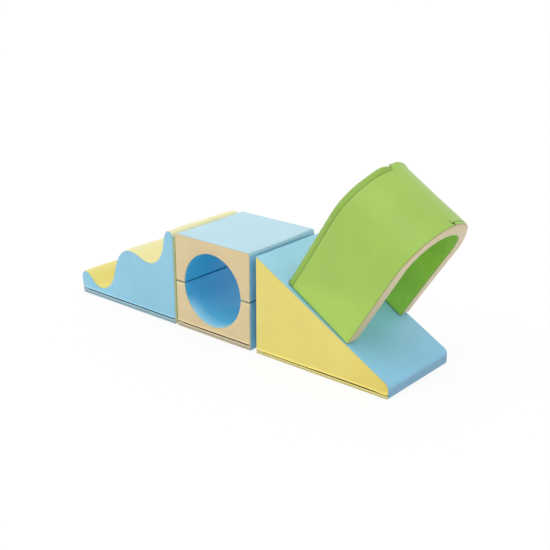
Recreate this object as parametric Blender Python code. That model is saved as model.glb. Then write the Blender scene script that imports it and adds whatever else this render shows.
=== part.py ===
"""Soft play foam climber: a wave block, a tunnel cube in two halves, a wedge ramp and an arch.

Every block is a foam core in a sewn cover. A block is described by one closed outline in its local
XZ plane, made of named stretches, and by its depth along local Y. The outline is lofted through
stations along the depth, drawn in on an arc at both ends, so the core, the panels that wrap it and
the covers that close its ends all follow the same soft edge.

The origin is the centre of the tunnel's underside. X runs along the row, from the wave to the ramp,
and Y runs away from the side with the zips.
"""
import bpy
import bmesh
from collections import namedtuple
from math import acos, asin, atan2, cos, pi, radians, sin, sqrt, tan
from mathutils import Matrix, Vector

for old in list(bpy.data.objects):
    bpy.data.objects.remove(old, do_unlink=True)

# Sizes of the blocks
BLOCK_DEPTH = 0.500
BLOCK_HEIGHT = 0.500
TUNNEL_LENGTH = 0.500
BORE_RADIUS = 0.188
WAVE_LENGTH = 0.735
RAMP_LENGTH = 0.764
RAMP_HEIGHT = 0.496
RAMP_TOE = 0.068
ARCH_WIDTH = 0.500
ARCH_HEIGHT = 0.674
ARCH_DEPTH = 0.427
ARCH_LEG_THICKNESS = 0.070
ARCH_CROWN_THICKNESS = 0.068
ARCH_SHOULDER_THICKNESS = 0.062
ARCH_INNER_LEG = 0.445

# Places of the blocks
WAVE_GAP = 0.016
RAMP_GAP = 0.038
ARCH_DOWN_SLOPE = 0.625
ARCH_ASIDE = 0.004
ARCH_YAW = radians(-2.6)
ARCH_LEAN = radians(2.6)

# Covers and seams
GAP = 0.0003
COVER = 0.0025
EDGE_ROUND = 0.008
CORNER_ROUND = 0.010
TIGHT_ROUND = 0.006
SHARP_ROUND = 0.003
LEAST_ROUND = 0.001
ARCH_RIM_ROUND = 0.046
ARCH_TOE_ROUND = 0.014
SIDE_CROWN = 0.003
WRAP_CROWN = 0.002
NARROW_CROWN = 0.0015

# Zips
ZIP_HEIGHT = 0.027
RAMP_ZIP_HEIGHT = 0.019
ZIP_SLIT = 0.009
ZIP_WIDTH = 0.005
ZIP_THICKNESS = 0.0016
ZIP_GROOVE = 0.0006
ZIP_END = 0.012
ZIP_STOP = 0.006
SLIDER_LENGTH = 0.012
SLIDER_WALL = 0.0008
SLIDER_HEIGHT = 0.0018
PULL_LENGTH = 0.016
PULL_THICKNESS = 0.001

# Hook and loop strips
STRIP_THICKNESS = 0.0015
STRIP_WIDTH = 0.020
STRIP_CORNER = 0.004
TUNNEL_STRIP_LENGTH = 0.400
ARCH_STRIP_LENGTH = 0.300

# Padded flap over the crown of the arch
FLAP_THICKNESS = 0.007
FLAP_REACH = 0.150
FLAP_LAP = 0.008
FLAP_CHANNEL = 0.004
FLAP_END = 0.020

# The wave's outline from the top of its back to the nose that overhangs its base: shares of its
# length and of the block's height, and the way it runs there, in degrees
WAVE_SHARES = ((0.000, 0.934, 90), (0.041, 1.000, 180), (0.103, 0.820, 260), (0.260, 0.594, 180),
               (0.448, 0.660, 180), (0.627, 0.380, 256), (0.800, 0.124, 180), (0.974, 0.256, 180),
               (1.012, 0.170, 270))
LOW_VALLEY = 6

# Shares of the sizes that they follow
HANDLE_SHARES = ((0.40, 0.38), (0.30, 0.60), (0.34, 0.42), (0.32, 0.36),
                 (0.42, 0.34), (0.34, 0.42), (0.42, 0.40), (0.39, 0.39))
DEPTH_SHARES = (0.25, 0.50, 0.75)
PAD_SHARES = ((0.0, 0.0), (0.4, 0.7), (1.0, 1.0))
PAD_RUN_SHARE = 0.33
LIP_SHARE = 0.3
CURVE_STEPS = 5
BORE_STEPS = 18
CROWN_STEPS = 8
FLAT_STEPS = 4
RIM_STEPS = 3
CORNER_STEPS = 2

# Angles below which a bend counts as smooth, in an outline and in the shading
SMOOTH_BEND = radians(25)
SMOOTH_SHADING = radians(35)

# How much longer than its chord a run of points may be and still count as straight
STRAIGHT = 1e-6

SPLIT_GAP = 3 * GAP + 2 * STRIP_THICKNESS
HALF_HEIGHT = (BLOCK_HEIGHT - SPLIT_GAP) / 2
SEAM = COVER + GAP

Stretch = namedtuple("Stretch", "name points near_round far_round crowned corner")
Block = namedtuple("Block", "name outline depth frame lean")


def display_colour(red, green, blue):
    """Turn a colour as it looks on a screen into the linear values a shader takes."""
    linear = []
    for value in (red, green, blue):
        share = value / 255
        linear.append(share / 12.92 if share <= 0.04045 else ((share + 0.055) / 1.055) ** 2.4)
    return (*linear, 1.0)


def make_material(name, colour, roughness, metallic=0.0):
    """Make one Principled material."""
    material = bpy.data.materials.new(name)
    material.use_nodes = True
    shader = material.node_tree.nodes["Principled BSDF"]
    shader.inputs["Base Color"].default_value = display_colour(*colour)
    shader.inputs["Roughness"].default_value = roughness
    shader.inputs["Metallic"].default_value = metallic
    material.diffuse_color = display_colour(*colour)
    return material


MATERIALS = {
    "sky": make_material("coated_fabric_sky_blue", (150, 202, 225), 0.45),
    "pale": make_material("coated_fabric_pale_blue", (196, 229, 239), 0.45),
    "bore": make_material("coated_fabric_bore_blue", (70, 150, 195), 0.45),
    "lemon": make_material("coated_fabric_lemon", (229, 214, 124), 0.45),
    "beige": make_material("coated_fabric_beige", (217, 198, 158), 0.45),
    "green": make_material("coated_fabric_green", (163, 200, 97), 0.45),
    "leaf": make_material("coated_fabric_leaf_green", (110, 165, 58), 0.45),
    "foam": make_material("white_foam", (236, 232, 220), 0.90),
    "zip": make_material("zip_tape", (92, 74, 60), 0.70),
    "slider": make_material("zip_metal", (150, 150, 152), 0.35, 0.9),
    "strip": make_material("hook_and_loop_strip", (225, 225, 222), 0.85),
}


def make_frame(name, matrix):
    """Add the empty that carries one block's pieces."""
    frame = bpy.data.objects.new(name, None)
    frame.matrix_world = matrix
    bpy.context.scene.collection.objects.link(frame)
    return frame


def leaned(block, point):
    """Shear a point of a leaning block, whose feet stay where they stand."""
    return Vector((point[0], point[1] - point[2] * tan(block.lean), point[2]))


def add_piece(block, name, vertices, faces, material, place=(0, 0, 0)):
    """Make one closed mesh object under its block's frame, with its faces pointing out."""
    work = bmesh.new()
    corners = [work.verts.new(vertex) for vertex in vertices]
    for face in faces:
        work.faces.new([corners[index] for index in face])
    bmesh.ops.recalc_face_normals(work, faces=work.faces)
    mesh = bpy.data.meshes.new(name)
    work.to_mesh(mesh)
    work.free()
    mesh.shade_smooth()
    mesh.set_sharp_from_angle(angle=SMOOTH_SHADING)
    mesh.materials.append(MATERIALS[material])
    piece = bpy.data.objects.new(name, mesh)
    bpy.context.scene.collection.objects.link(piece)
    piece.parent = block.frame
    piece.location = place
    return piece


def loft(rings):
    """Join closed rings of equal count and cap both ends: vertices and faces of a closed solid."""
    count = len(rings[0])
    vertices = [vertex for ring in rings for vertex in ring]
    faces = [tuple(range(count)), tuple(range(len(vertices) - count, len(vertices)))]
    for row in range(len(rings) - 1):
        for index in range(count):
            following = (index + 1) % count
            faces.append((row * count + index, row * count + following,
                          (row + 1) * count + following, (row + 1) * count + index))
    return vertices, faces


def slab(outer, inner):
    """Close two grids of equal size, a skin and what lies under it, into one thin solid."""
    rows = len(outer)
    columns = len(outer[0])
    size = rows * columns
    vertices = [vertex for row in outer for vertex in row] + [vertex for row in inner for vertex in row]
    faces = []
    for row in range(rows - 1):
        for column in range(columns - 1):
            quad = (row * columns + column, row * columns + column + 1,
                    (row + 1) * columns + column + 1, (row + 1) * columns + column)
            faces.append(quad)
            faces.append(tuple(index + size for index in reversed(quad)))
    border = [column for column in range(columns)]
    border += [row * columns + columns - 1 for row in range(1, rows)]
    border += [(rows - 1) * columns + column for column in range(columns - 2, -1, -1)]
    border += [row * columns for row in range(rows - 2, 0, -1)]
    for index, first in enumerate(border):
        second = border[(index + 1) % len(border)]
        faces.append((first, first + size, second + size, second))
    return vertices, faces


def line(start, end, steps=1):
    """Points of a straight run."""
    return [(start[0] + (end[0] - start[0]) * step / steps, start[1] + (end[1] - start[1]) * step / steps)
            for step in range(steps + 1)]


def arc(centre, radius_x, radius_z, first, last, steps):
    """Points of an elliptical arc between two angles."""
    angles = [first + (last - first) * step / steps for step in range(steps + 1)]
    return [(centre[0] + radius_x * cos(angle), centre[1] + radius_z * sin(angle)) for angle in angles]


def curve(start, start_angle, end, end_angle, handle_shares, steps):
    """Points of a cubic curve whose handles are shares of its chord."""
    first, last = Vector(start), Vector(end)
    chord = (last - first).length
    first_handle = first + Vector((cos(start_angle), sin(start_angle))) * chord * handle_shares[0]
    last_handle = last - Vector((cos(end_angle), sin(end_angle))) * chord * handle_shares[1]
    points = []
    for step in range(steps + 1):
        t = step / steps
        point = (first * (1 - t) ** 3 + first_handle * 3 * t * (1 - t) ** 2
                 + last_handle * 3 * t * t * (1 - t) + last * t ** 3)
        points.append(tuple(point))
    return points


def corner_arc(previous, corner, following, radius):
    """Points of the arc that rounds a corner, as many on each side of its middle."""
    way_in = (corner - previous).normalized()
    way_out = (following - corner).normalized()
    turn = atan2(way_in.x * way_out.y - way_in.y * way_out.x, way_in.dot(way_out))
    start = corner - way_in * radius * tan(abs(turn) / 2)
    side = 1 if turn > 0 else -1
    centre = start + Vector((-way_in.y, way_in.x)) * radius * side
    steps = 2 * CORNER_STEPS
    return [centre + Matrix.Rotation(turn * step / steps, 2) @ (start - centre) for step in range(steps + 1)]


def joined(*runs):
    """Chain runs of points that share their ends."""
    points = list(runs[0])
    for run in runs[1:]:
        points += run[1:]
    return points


def swell(points):
    """How far each point of a run takes part in a crown: none at the ends, nearly all between."""
    lengths = [0.0]
    for first, second in zip(points, points[1:]):
        lengths.append(lengths[-1] + (Vector(second) - Vector(first)).length)
    return [1 - (2 * length / lengths[-1] - 1) ** 4 for length in lengths]


def moved_in(previous, point, following, distance_in, distance_out):
    """Move a corner inwards, so that its two edges shift by their own distances."""
    edge_in = (Vector(point) - Vector(previous)).normalized()
    edge_out = (Vector(following) - Vector(point)).normalized()
    normal_in = Vector((edge_in.y, -edge_in.x))
    normal_out = Vector((edge_out.y, -edge_out.x))
    cross = normal_in.x * normal_out.y - normal_in.y * normal_out.x
    if abs(cross) < sin(SMOOTH_BEND):
        mean = (distance_in + distance_out) / 2
        shift = -(normal_in + normal_out) * mean / (1 + normal_in.dot(normal_out))
    else:
        shift = Vector((distance_out * normal_in.y - distance_in * normal_out.y,
                        distance_in * normal_out.x - distance_out * normal_in.x)) / cross
    return Vector(point) + shift


def with_rounded_corners(outline, runs, distances):
    """Round the corner at the end of each stretch that has one, half of the arc on each neighbour."""
    rounded = list(runs)
    for place, stretch in enumerate(outline):
        if not stretch.corner:
            continue
        following = (place + 1) % len(outline)
        radius = max(stretch.corner - max(distances[place], distances[following]), LEAST_ROUND)
        bend = corner_arc(runs[place][-2], runs[place][-1], runs[following][1], radius)
        rounded[place] = rounded[place][:-1] + bend[:CORNER_STEPS + 1]
        rounded[following] = bend[CORNER_STEPS:] + rounded[following][1:]
    return rounded


def is_straight(points):
    """Whether a run of points lies on one line."""
    length = sum((Vector(second) - Vector(first)).length for first, second in zip(points, points[1:]))
    return length - (Vector(points[-1]) - Vector(points[0])).length < STRAIGHT


def evenly_spaced(start, end, lifts):
    """Points of a straight run between its moved ends, each raised by its own lift."""
    edge = (end - start).normalized()
    outward = Vector((edge.y, -edge.x))
    last = len(lifts) - 1
    return [start.lerp(end, index / last) + outward * lift for index, lift in enumerate(lifts)]


def outline_ring(outline, distances, lift=0.0):
    """Move an outline in by a distance for each stretch, out again by its crown: one run a stretch."""
    runs = []
    count = len(outline)
    for place, stretch in enumerate(outline):
        before, after = outline[place - 1], outline[(place + 1) % count]
        last = len(stretch.points) - 1
        lifts = [lift * share if stretch.crowned else 0.0 for share in swell(stretch.points)]
        run = []
        for index, point in enumerate(stretch.points):
            previous = stretch.points[index - 1] if index else before.points[-2]
            following = stretch.points[index + 1] if index < last else after.points[1]
            distance_in = distances[place] if index else distances[place - 1]
            distance_out = distances[place] if index < last else distances[(place + 1) % count]
            raised = lifts[index]
            run.append(moved_in(previous, point, following, distance_in - raised, distance_out - raised))
        if is_straight(stretch.points):
            run = evenly_spaced(run[0], run[-1], lifts)
        runs.append(run)
    return with_rounded_corners(outline, runs, distances)


def rounded_inset(radius, depth, level):
    """How far a surface lies inside the outline, level below the skin and depth in from the end face."""
    if depth >= radius:
        return level
    reach = radius - level
    rise = radius - depth
    if rise >= reach:
        return radius
    return radius - sqrt(reach * reach - rise * rise)


def insets_at(block, y, level):
    """The inset of each stretch at a place along the block's depth."""
    near_depth = y + block.depth / 2
    far_depth = block.depth / 2 - y
    if near_depth < far_depth:
        return [rounded_inset(stretch.near_round, near_depth, level) for stretch in block.outline]
    return [rounded_inset(stretch.far_round, far_depth, level) for stretch in block.outline]


def end_depths(radii):
    """Depths of the stations that draw the rounded edge of one end, from its seam inwards."""
    depths = {SEAM}
    for radius in radii:
        steps = 1 if radius <= EDGE_ROUND else RIM_STEPS
        first = acos(1 - SEAM / radius)
        for step in range(1, steps + 1):
            depths.add(radius * (1 - cos(first + (pi / 2 - first) * step / steps)))
    return sorted(depths)


def stations(block):
    """Places along the depth at which a block's outline is drawn."""
    near = end_depths({stretch.near_round for stretch in block.outline})
    far = end_depths({stretch.far_round for stretch in block.outline})
    start = near[-1] - block.depth / 2
    end = block.depth / 2 - far[-1]
    places = [depth - block.depth / 2 for depth in near]
    places += [start + (end - start) * share for share in DEPTH_SHARES]
    places += [block.depth / 2 - depth for depth in reversed(far)]
    return places


def depth_swell(block, y):
    """How far a station takes part in the crown of the panels that wrap the block."""
    return 1 - (2 * y / block.depth) ** 4


def flat_ring(block, outline_runs, y):
    """Turn an outline's runs into one closed ring of points at a place along the depth."""
    return [leaned(block, (point.x, y, point.y)) for run in outline_runs for point in run[:-1]]


def add_core(block):
    """The foam inside, one seam's depth below the skin everywhere."""
    rings = [flat_ring(block, outline_ring(block.outline, insets_at(block, y, SEAM)), y)
             for y in stations(block)]
    vertices, faces = loft(rings)
    return add_piece(block, block.name + "_foam_core", vertices, faces, "foam")


def trimmed(run):
    """Shorten a run of points at both ends, to leave the seam's gap to the next panel."""
    first = run[0] + (run[1] - run[0]).normalized() * GAP
    last = run[-1] + (run[-2] - run[-1]).normalized() * GAP
    return [first] + run[1:-1] + [last]


def add_wrap(block, name, stretch_names, material, level=0.0, thickness=COVER, channel=0.0, places=None):
    """A panel that wraps the block along some of its stretches, crowned between its seams."""
    chosen = [[stretch.name for stretch in block.outline].index(wanted) for wanted in stretch_names]
    outer, inner = [], []
    for y in places or stations(block):
        lift = WRAP_CROWN * depth_swell(block, y) if level == 0 else 0.0
        skin = outline_ring(block.outline, insets_at(block, y, level), lift)
        skin = joined(*[skin[index] for index in chosen])
        under = outline_ring(block.outline, insets_at(block, y, level + thickness))
        under = joined(*[under[index] for index in chosen])
        if channel:
            shares = swell([tuple(point) for point in under])
            under = [low + (high - low).normalized() * channel * share
                     for low, high, share in zip(under, skin, shares)]
        outer.append([leaned(block, (point.x, y, point.y)) for point in trimmed(skin)])
        inner.append([leaned(block, (point.x, y, point.y)) for point in trimmed(under)])
    vertices, faces = slab(outer, inner)
    return add_piece(block, name, vertices, faces, material)


def add_end_cover(block, name, material, run, crown, far=False, outline=None):
    """The cover of one end: it turns over the rounded edge to the seam and is crowned inside it."""
    outline = outline or block.outline
    radii = [stretch.far_round if far else stretch.near_round for stretch in outline]
    end = block.depth / 2
    rings = []
    for depth in (COVER, COVER * LIP_SHARE):
        insets = [rounded_inset(radius, depth, 0.0) for radius in radii]
        rings.append((insets, end - depth))
    for run_share, crown_share in PAD_SHARES if run else PAD_SHARES[:1]:
        insets = [radius + run * run_share for radius in radii]
        rings.append((insets, end + crown * crown_share))
    side = 1 if far else -1
    loops = [flat_ring(block, outline_ring(outline, insets), side * y) for insets, y in rings]
    vertices, faces = loft(loops)
    return add_piece(block, name, vertices, faces, material)


def clipped(outline, height, above):
    """The part of an outline above or below a height, closed there by the lip of a slit."""
    kept = []
    side = 1 if above else -1
    for stretch in outline:
        points = []
        for first, second in zip(stretch.points, stretch.points[1:]):
            inside = [side * (point[1] - height) > 0 for point in (first, second)]
            if inside[0] and not points:
                points.append(first)
            if inside[0] != inside[1]:
                share = (height - first[1]) / (second[1] - first[1])
                points.append((first[0] + (second[0] - first[0]) * share, height))
            if inside[1]:
                points.append(second)
        if len(points) > 1:
            whole_end = points[-1] == stretch.points[-1]
            kept.append(stretch._replace(points=points, corner=stretch.corner if whole_end else 0.0))
    closed = []
    for index, stretch in enumerate(kept):
        closed.append(stretch)
        following = kept[(index + 1) % len(kept)]
        start, end = stretch.points[-1], following.points[0]
        if start[1] == height and end[1] == height:
            closed.append(Stretch("lip", line(start, end), COVER, COVER, False, 0.0))
    return closed


def add_zip_side(block, name, material, border_material, zip_height, run):
    """The cover of the zip's side, split by the slit: the cover above it and the border strip below."""
    upper = clipped(block.outline, zip_height + ZIP_SLIT / 2, True)
    lower = clipped(block.outline, zip_height - ZIP_SLIT / 2, False)
    add_end_cover(block, name, material, run, SIDE_CROWN, outline=upper)
    add_end_cover(block, block.name + "_border_strip", border_material, 0.0, 0.0, outline=lower)


def chain_section():
    """Cross-section of the zip's chain, across and outwards: two rows of teeth with a groove between."""
    half = ZIP_WIDTH / 2
    front = ZIP_THICKNESS
    return [(-half, 0), (half, 0), (half, front / 2), (half * 2 / 3, front), (ZIP_GROOVE, front),
            (0, front - ZIP_GROOVE), (-ZIP_GROOVE, front), (-half * 2 / 3, front), (-half, front / 2)]


def slider_section():
    """Cross-section of the slider: a channel that runs astride the chain."""
    inside = ZIP_WIDTH / 2 + GAP
    outside = inside + SLIDER_WALL
    under = ZIP_THICKNESS + GAP
    top = under + SLIDER_HEIGHT
    skirt = ZIP_THICKNESS / 2
    return [(-outside, skirt), (-inside, skirt), (-inside, under), (inside, under), (inside, skirt),
            (outside, skirt), (outside, top - SLIDER_WALL), (inside, top), (-inside, top),
            (-outside, top - SLIDER_WALL)]


def slider_solid(middle, place_point):
    """A slider astride the chain at one place along it, with a pull that lies along the chain."""
    section = slider_section()
    start, end = middle - SLIDER_LENGTH / 2, middle + SLIDER_LENGTH / 2
    under, pull_half = ZIP_THICKNESS + GAP, ZIP_WIDTH / 2
    tip = [(-pull_half, under), (pull_half, under),
           (pull_half, under + PULL_THICKNESS), (-pull_half, under + PULL_THICKNESS)]
    vertices = [place_point(along, outward, across) for along in (start, end) for across, outward in section]
    vertices += [place_point(end + PULL_LENGTH, outward, across) for across, outward in tip]
    count = len(section)
    faces = [tuple(range(count))]
    for index in range(count):
        following = (index + 1) % count
        faces.append((index, following, count + following, count + index))
    faces.append(tuple(count + index for index in (0, 1, 2, 8, 9)))
    faces.append(tuple(count + index for index in (3, 4, 5, 6, 7)))
    root = [count + index for index in (2, 3, 7, 8)]
    end_ring = [2 * count + index for index in range(4)]
    for index in range(4):
        following = (index + 1) % 4
        faces.append((root[index], root[following], end_ring[following], end_ring[index]))
    faces.append(tuple(end_ring))
    return vertices, faces


def add_zip(block, start, end, place_point):
    """The chain of a zip and its slider, which rests at the chain's start."""
    chain = [[place_point(along, outward, across) for across, outward in chain_section()]
             for along in (start, end)]
    add_piece(block, block.name + "_zip_chain", *loft(chain), "zip")
    middle = start + SLIDER_LENGTH / 2 + ZIP_STOP
    origin = place_point(middle, 0, 0)
    vertices, faces = slider_solid(middle, place_point)
    vertices = [vertex - origin for vertex in vertices]
    add_piece(block, block.name + "_zip_slider", vertices, faces, "slider", origin)


def add_side_zip(block, zip_height, left, right):
    """A zip along the foot of the near cover, seated against the core in the slit."""
    back = -block.depth / 2 + COVER

    def place_point(along, outward, across):
        return Vector((along, back - outward, zip_height + across))

    add_zip(block, left + ZIP_END, right - ZIP_END, place_point)


def add_strip(block, name, x, length, low, centre_y=0.0):
    """A flat strip of hook or loop tape along the depth, with rounded corners."""
    rim = []
    for side_x, side_y, quarter in ((1, 1, 0), (-1, 1, 1), (-1, -1, 2), (1, -1, 3)):
        centre = (x + side_x * (STRIP_WIDTH / 2 - STRIP_CORNER),
                  centre_y + side_y * (length / 2 - STRIP_CORNER))
        rim += arc(centre, STRIP_CORNER, STRIP_CORNER, quarter * pi / 2, (quarter + 1) * pi / 2, CORNER_STEPS)
    rings = [[Vector((*point, height)) for point in rim] for height in (low, low + STRIP_THICKNESS)]
    add_piece(block, name, *loft(rings), "strip")


def wave_outline():
    """Outline of the wave: base, tall back, and the top that runs over three crests to the nose."""
    keys = [((-WAVE_LENGTH * place, BLOCK_HEIGHT * height), radians(way))
            for place, height, way in WAVE_SHARES]
    runs = [curve(*start, *end, shares, CURVE_STEPS)
            for start, end, shares in zip(keys, keys[1:], HANDLE_SHARES)]
    runs.append(line(keys[-1][0], (-WAVE_LENGTH, 0)))
    base = line((-WAVE_LENGTH, 0), (0, 0), FLAT_STEPS)
    back = line((0, 0), keys[0][0], FLAT_STEPS)
    return [Stretch("base", base, EDGE_ROUND, EDGE_ROUND, False, TIGHT_ROUND),
            Stretch("back", back, EDGE_ROUND, EDGE_ROUND, True, 0.0),
            Stretch("top", joined(*runs), EDGE_ROUND, EDGE_ROUND, True, TIGHT_ROUND)]


def half_outline():
    """Outline of one tunnel half: base, sides, split faces and half of the bore."""
    side = TUNNEL_LENGTH / 2
    centre = (0, BLOCK_HEIGHT / 2)
    start = asin((HALF_HEIGHT - centre[1]) / BORE_RADIUS)
    bore = arc(centre, BORE_RADIUS, BORE_RADIUS, start, -pi - start, BORE_STEPS)
    stretches = (("base", line((-side, 0), (side, 0), FLAT_STEPS), False, CORNER_ROUND),
                 ("right", line((side, 0), (side, HALF_HEIGHT), FLAT_STEPS), True, TIGHT_ROUND),
                 ("split_right", line((side, HALF_HEIGHT), bore[0]), False, TIGHT_ROUND),
                 ("bore", bore, False, TIGHT_ROUND),
                 ("split_left", line(bore[-1], (-side, HALF_HEIGHT)), False, TIGHT_ROUND),
                 ("left", line((-side, HALF_HEIGHT), (-side, 0), FLAT_STEPS), True, CORNER_ROUND))
    return [Stretch(name, points, EDGE_ROUND, EDGE_ROUND, crowned, corner)
            for name, points, crowned, corner in stretches]


def ramp_outline():
    """Outline of the ramp: base, toe, slope and the back that faces the tunnel."""
    toe = (RAMP_LENGTH, RAMP_TOE)
    top = (0, RAMP_HEIGHT)
    stretches = (("base", line((0, 0), (RAMP_LENGTH, 0), FLAT_STEPS), False, TIGHT_ROUND),
                 ("toe", line((RAMP_LENGTH, 0), toe, FLAT_STEPS), True, CORNER_ROUND),
                 ("slope", line(toe, top, FLAT_STEPS), False, SHARP_ROUND),
                 ("back", line(top, (0, 0), FLAT_STEPS), True, TIGHT_ROUND))
    return [Stretch(name, points, EDGE_ROUND, EDGE_ROUND, crowned, corner)
            for name, points, crowned, corner in stretches]


def arch_outline():
    """Outline of the arch, whose near leg stands at negative X and whose crown is parted by the zip."""
    side = ARCH_WIDTH / 2
    inner = side - ARCH_LEG_THICKNESS
    outer_leg = ARCH_HEIGHT - side
    inner_rise = ARCH_HEIGHT - ARCH_CROWN_THICKNESS - ARCH_INNER_LEG
    slit = asin(ZIP_SLIT / 2 / side)
    lap = slit + FLAP_LAP / side
    reach = slit + FLAP_REACH / side
    centre = (0, outer_leg)
    hollow = joined(line((-inner, 0), (-inner, ARCH_INNER_LEG), FLAT_STEPS),
                    arc((0, ARCH_INNER_LEG), inner, inner_rise, pi, 0, 2 * CROWN_STEPS),
                    line((inner, ARCH_INNER_LEG), (inner, 0), FLAT_STEPS))
    far_side = joined(line((side, 0), (side, outer_leg), FLAT_STEPS),
                      arc(centre, side, side, 0, pi / 2 - reach, CROWN_STEPS - 2))
    near_side = joined(arc(centre, side, side, pi / 2 + lap, pi, CROWN_STEPS),
                       line((-side, outer_leg), (-side, 0), FLAT_STEPS))
    under_flap = arc(centre, side, side, pi / 2 - reach, pi / 2 - slit, CROWN_STEPS // 2)
    slit_run = arc(centre, side, side, pi / 2 - slit, pi / 2 + slit, 1)
    lap_run = arc(centre, side, side, pi / 2 + slit, pi / 2 + lap, 1)
    near_foot, far_foot = line((-side, 0), (-inner, 0)), line((inner, 0), (side, 0))
    stretches = (("near_foot", near_foot, ARCH_TOE_ROUND, EDGE_ROUND, TIGHT_ROUND),
                 ("hollow", hollow, EDGE_ROUND, EDGE_ROUND, TIGHT_ROUND),
                 ("far_foot", far_foot, ARCH_TOE_ROUND, EDGE_ROUND, TIGHT_ROUND),
                 ("far_side", far_side, EDGE_ROUND, ARCH_RIM_ROUND, 0.0),
                 ("under_flap", under_flap, EDGE_ROUND, ARCH_RIM_ROUND, 0.0),
                 ("slit", slit_run, EDGE_ROUND, ARCH_RIM_ROUND, 0.0),
                 ("lap", lap_run, EDGE_ROUND, ARCH_RIM_ROUND, 0.0),
                 ("near_side", near_side, EDGE_ROUND, ARCH_RIM_ROUND, TIGHT_ROUND))
    return [Stretch(name, points, near_round, far_round, False, corner)
            for name, points, near_round, far_round, corner in stretches]


def pad_run(wall, round_sum):
    """How far a cover's crown takes to rise, on a block whose narrowest wall is this wide."""
    return max(wall - round_sum, GAP) * PAD_RUN_SHARE


def build_wave():
    """The wave block: steps and hollows to climb."""
    place = Matrix.Translation((-TUNNEL_LENGTH / 2 - WAVE_GAP, 0, 0))
    block = Block("wave", wave_outline(), BLOCK_DEPTH, make_frame("wave_frame", place), 0.0)
    low_valley_height = BLOCK_HEIGHT * WAVE_SHARES[LOW_VALLEY][1]
    run = pad_run(low_valley_height - ZIP_HEIGHT - ZIP_SLIT / 2, EDGE_ROUND + COVER)
    add_core(block)
    add_wrap(block, "wave_base_cover", ["base"], "sky")
    add_wrap(block, "wave_back_cover", ["back"], "lemon")
    add_wrap(block, "wave_top_cover", ["top"], "lemon")
    add_zip_side(block, "wave_near_side_cover", "sky", "sky", ZIP_HEIGHT, run)
    add_end_cover(block, "wave_far_side_cover", "sky", run, SIDE_CROWN, far=True)
    add_side_zip(block, ZIP_HEIGHT, -WAVE_LENGTH, 0)


def build_half(name, place, zip_side, plain_side, strip_name):
    """One tunnel half, zip side near and channel up in its own frame."""
    block = Block(name, half_outline(), BLOCK_DEPTH, make_frame(name + "_frame", place), 0.0)
    wall = BLOCK_HEIGHT / 2 - BORE_RADIUS
    run = pad_run(wall - ZIP_HEIGHT - ZIP_SLIT / 2, EDGE_ROUND + COVER)
    add_core(block)
    add_wrap(block, name + "_base_cover", ["base"], "pale")
    add_wrap(block, name + "_right_cover", ["right"], "sky")
    add_wrap(block, name + "_left_cover", ["left"], "sky")
    add_wrap(block, name + "_channel_cover", ["split_right", "bore", "split_left"], "bore")
    add_zip_side(block, name + zip_side, "beige", "beige", ZIP_HEIGHT, run)
    add_end_cover(block, name + plain_side, "beige", run, SIDE_CROWN, far=True)
    add_side_zip(block, ZIP_HEIGHT, -TUNNEL_LENGTH / 2, TUNNEL_LENGTH / 2)
    middle = (TUNNEL_LENGTH / 2 + BORE_RADIUS) / 2
    add_strip(block, name + "_left_" + strip_name, -middle, TUNNEL_STRIP_LENGTH, HALF_HEIGHT + GAP)
    add_strip(block, name + "_right_" + strip_name, middle, TUNNEL_STRIP_LENGTH, HALF_HEIGHT + GAP)


def slope_angle():
    """Angle of the ramp's slope below the horizontal."""
    return atan2(RAMP_HEIGHT - RAMP_TOE, RAMP_LENGTH)


def ramp_place():
    """Frame of the ramp, at the foot of its back."""
    return Matrix.Translation((TUNNEL_LENGTH / 2 + RAMP_GAP, 0, 0))


def slope_place():
    """Frame on the slope below the arch: X to the far side, Y uphill, Z square to the slope."""
    turn = Matrix.Rotation(slope_angle(), 4, "Y")
    down_slope = Matrix.Translation((ARCH_DOWN_SLOPE, ARCH_ASIDE, 0))
    uphill = Matrix.Rotation(pi / 2, 4, "Z")
    top_edge = Matrix.Translation((0, 0, RAMP_HEIGHT))
    return ramp_place() @ top_edge @ turn @ down_slope @ Matrix.Rotation(ARCH_YAW, 4, "Z") @ uphill


def build_ramp():
    """The wedge ramp, with the hook strips that the arch stands on."""
    block = Block("ramp", ramp_outline(), BLOCK_DEPTH, make_frame("ramp_frame", ramp_place()), 0.0)
    run = pad_run(RAMP_TOE - RAMP_ZIP_HEIGHT - ZIP_SLIT / 2, EDGE_ROUND + COVER)
    add_core(block)
    add_wrap(block, "ramp_base_cover", ["base"], "sky")
    add_wrap(block, "ramp_toe_cover", ["toe"], "sky")
    add_wrap(block, "ramp_slope_cover", ["slope"], "sky")
    add_wrap(block, "ramp_back_cover", ["back"], "sky")
    add_zip_side(block, "ramp_near_side_cover", "lemon", "lemon", RAMP_ZIP_HEIGHT, run)
    add_end_cover(block, "ramp_far_side_cover", "lemon", run, SIDE_CROWN, far=True)
    add_side_zip(block, RAMP_ZIP_HEIGHT, 0, RAMP_LENGTH)
    slope = Block("slope", (), ARCH_DEPTH, make_frame("slope_frame", slope_place()), 0.0)
    middle = (ARCH_WIDTH - ARCH_LEG_THICKNESS) / 2
    add_strip(slope, "ramp_near_hook_strip", -middle, ARCH_STRIP_LENGTH, GAP, ARCH_DEPTH / 2)
    add_strip(slope, "ramp_far_hook_strip", middle, ARCH_STRIP_LENGTH, GAP, ARCH_DEPTH / 2)


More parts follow.
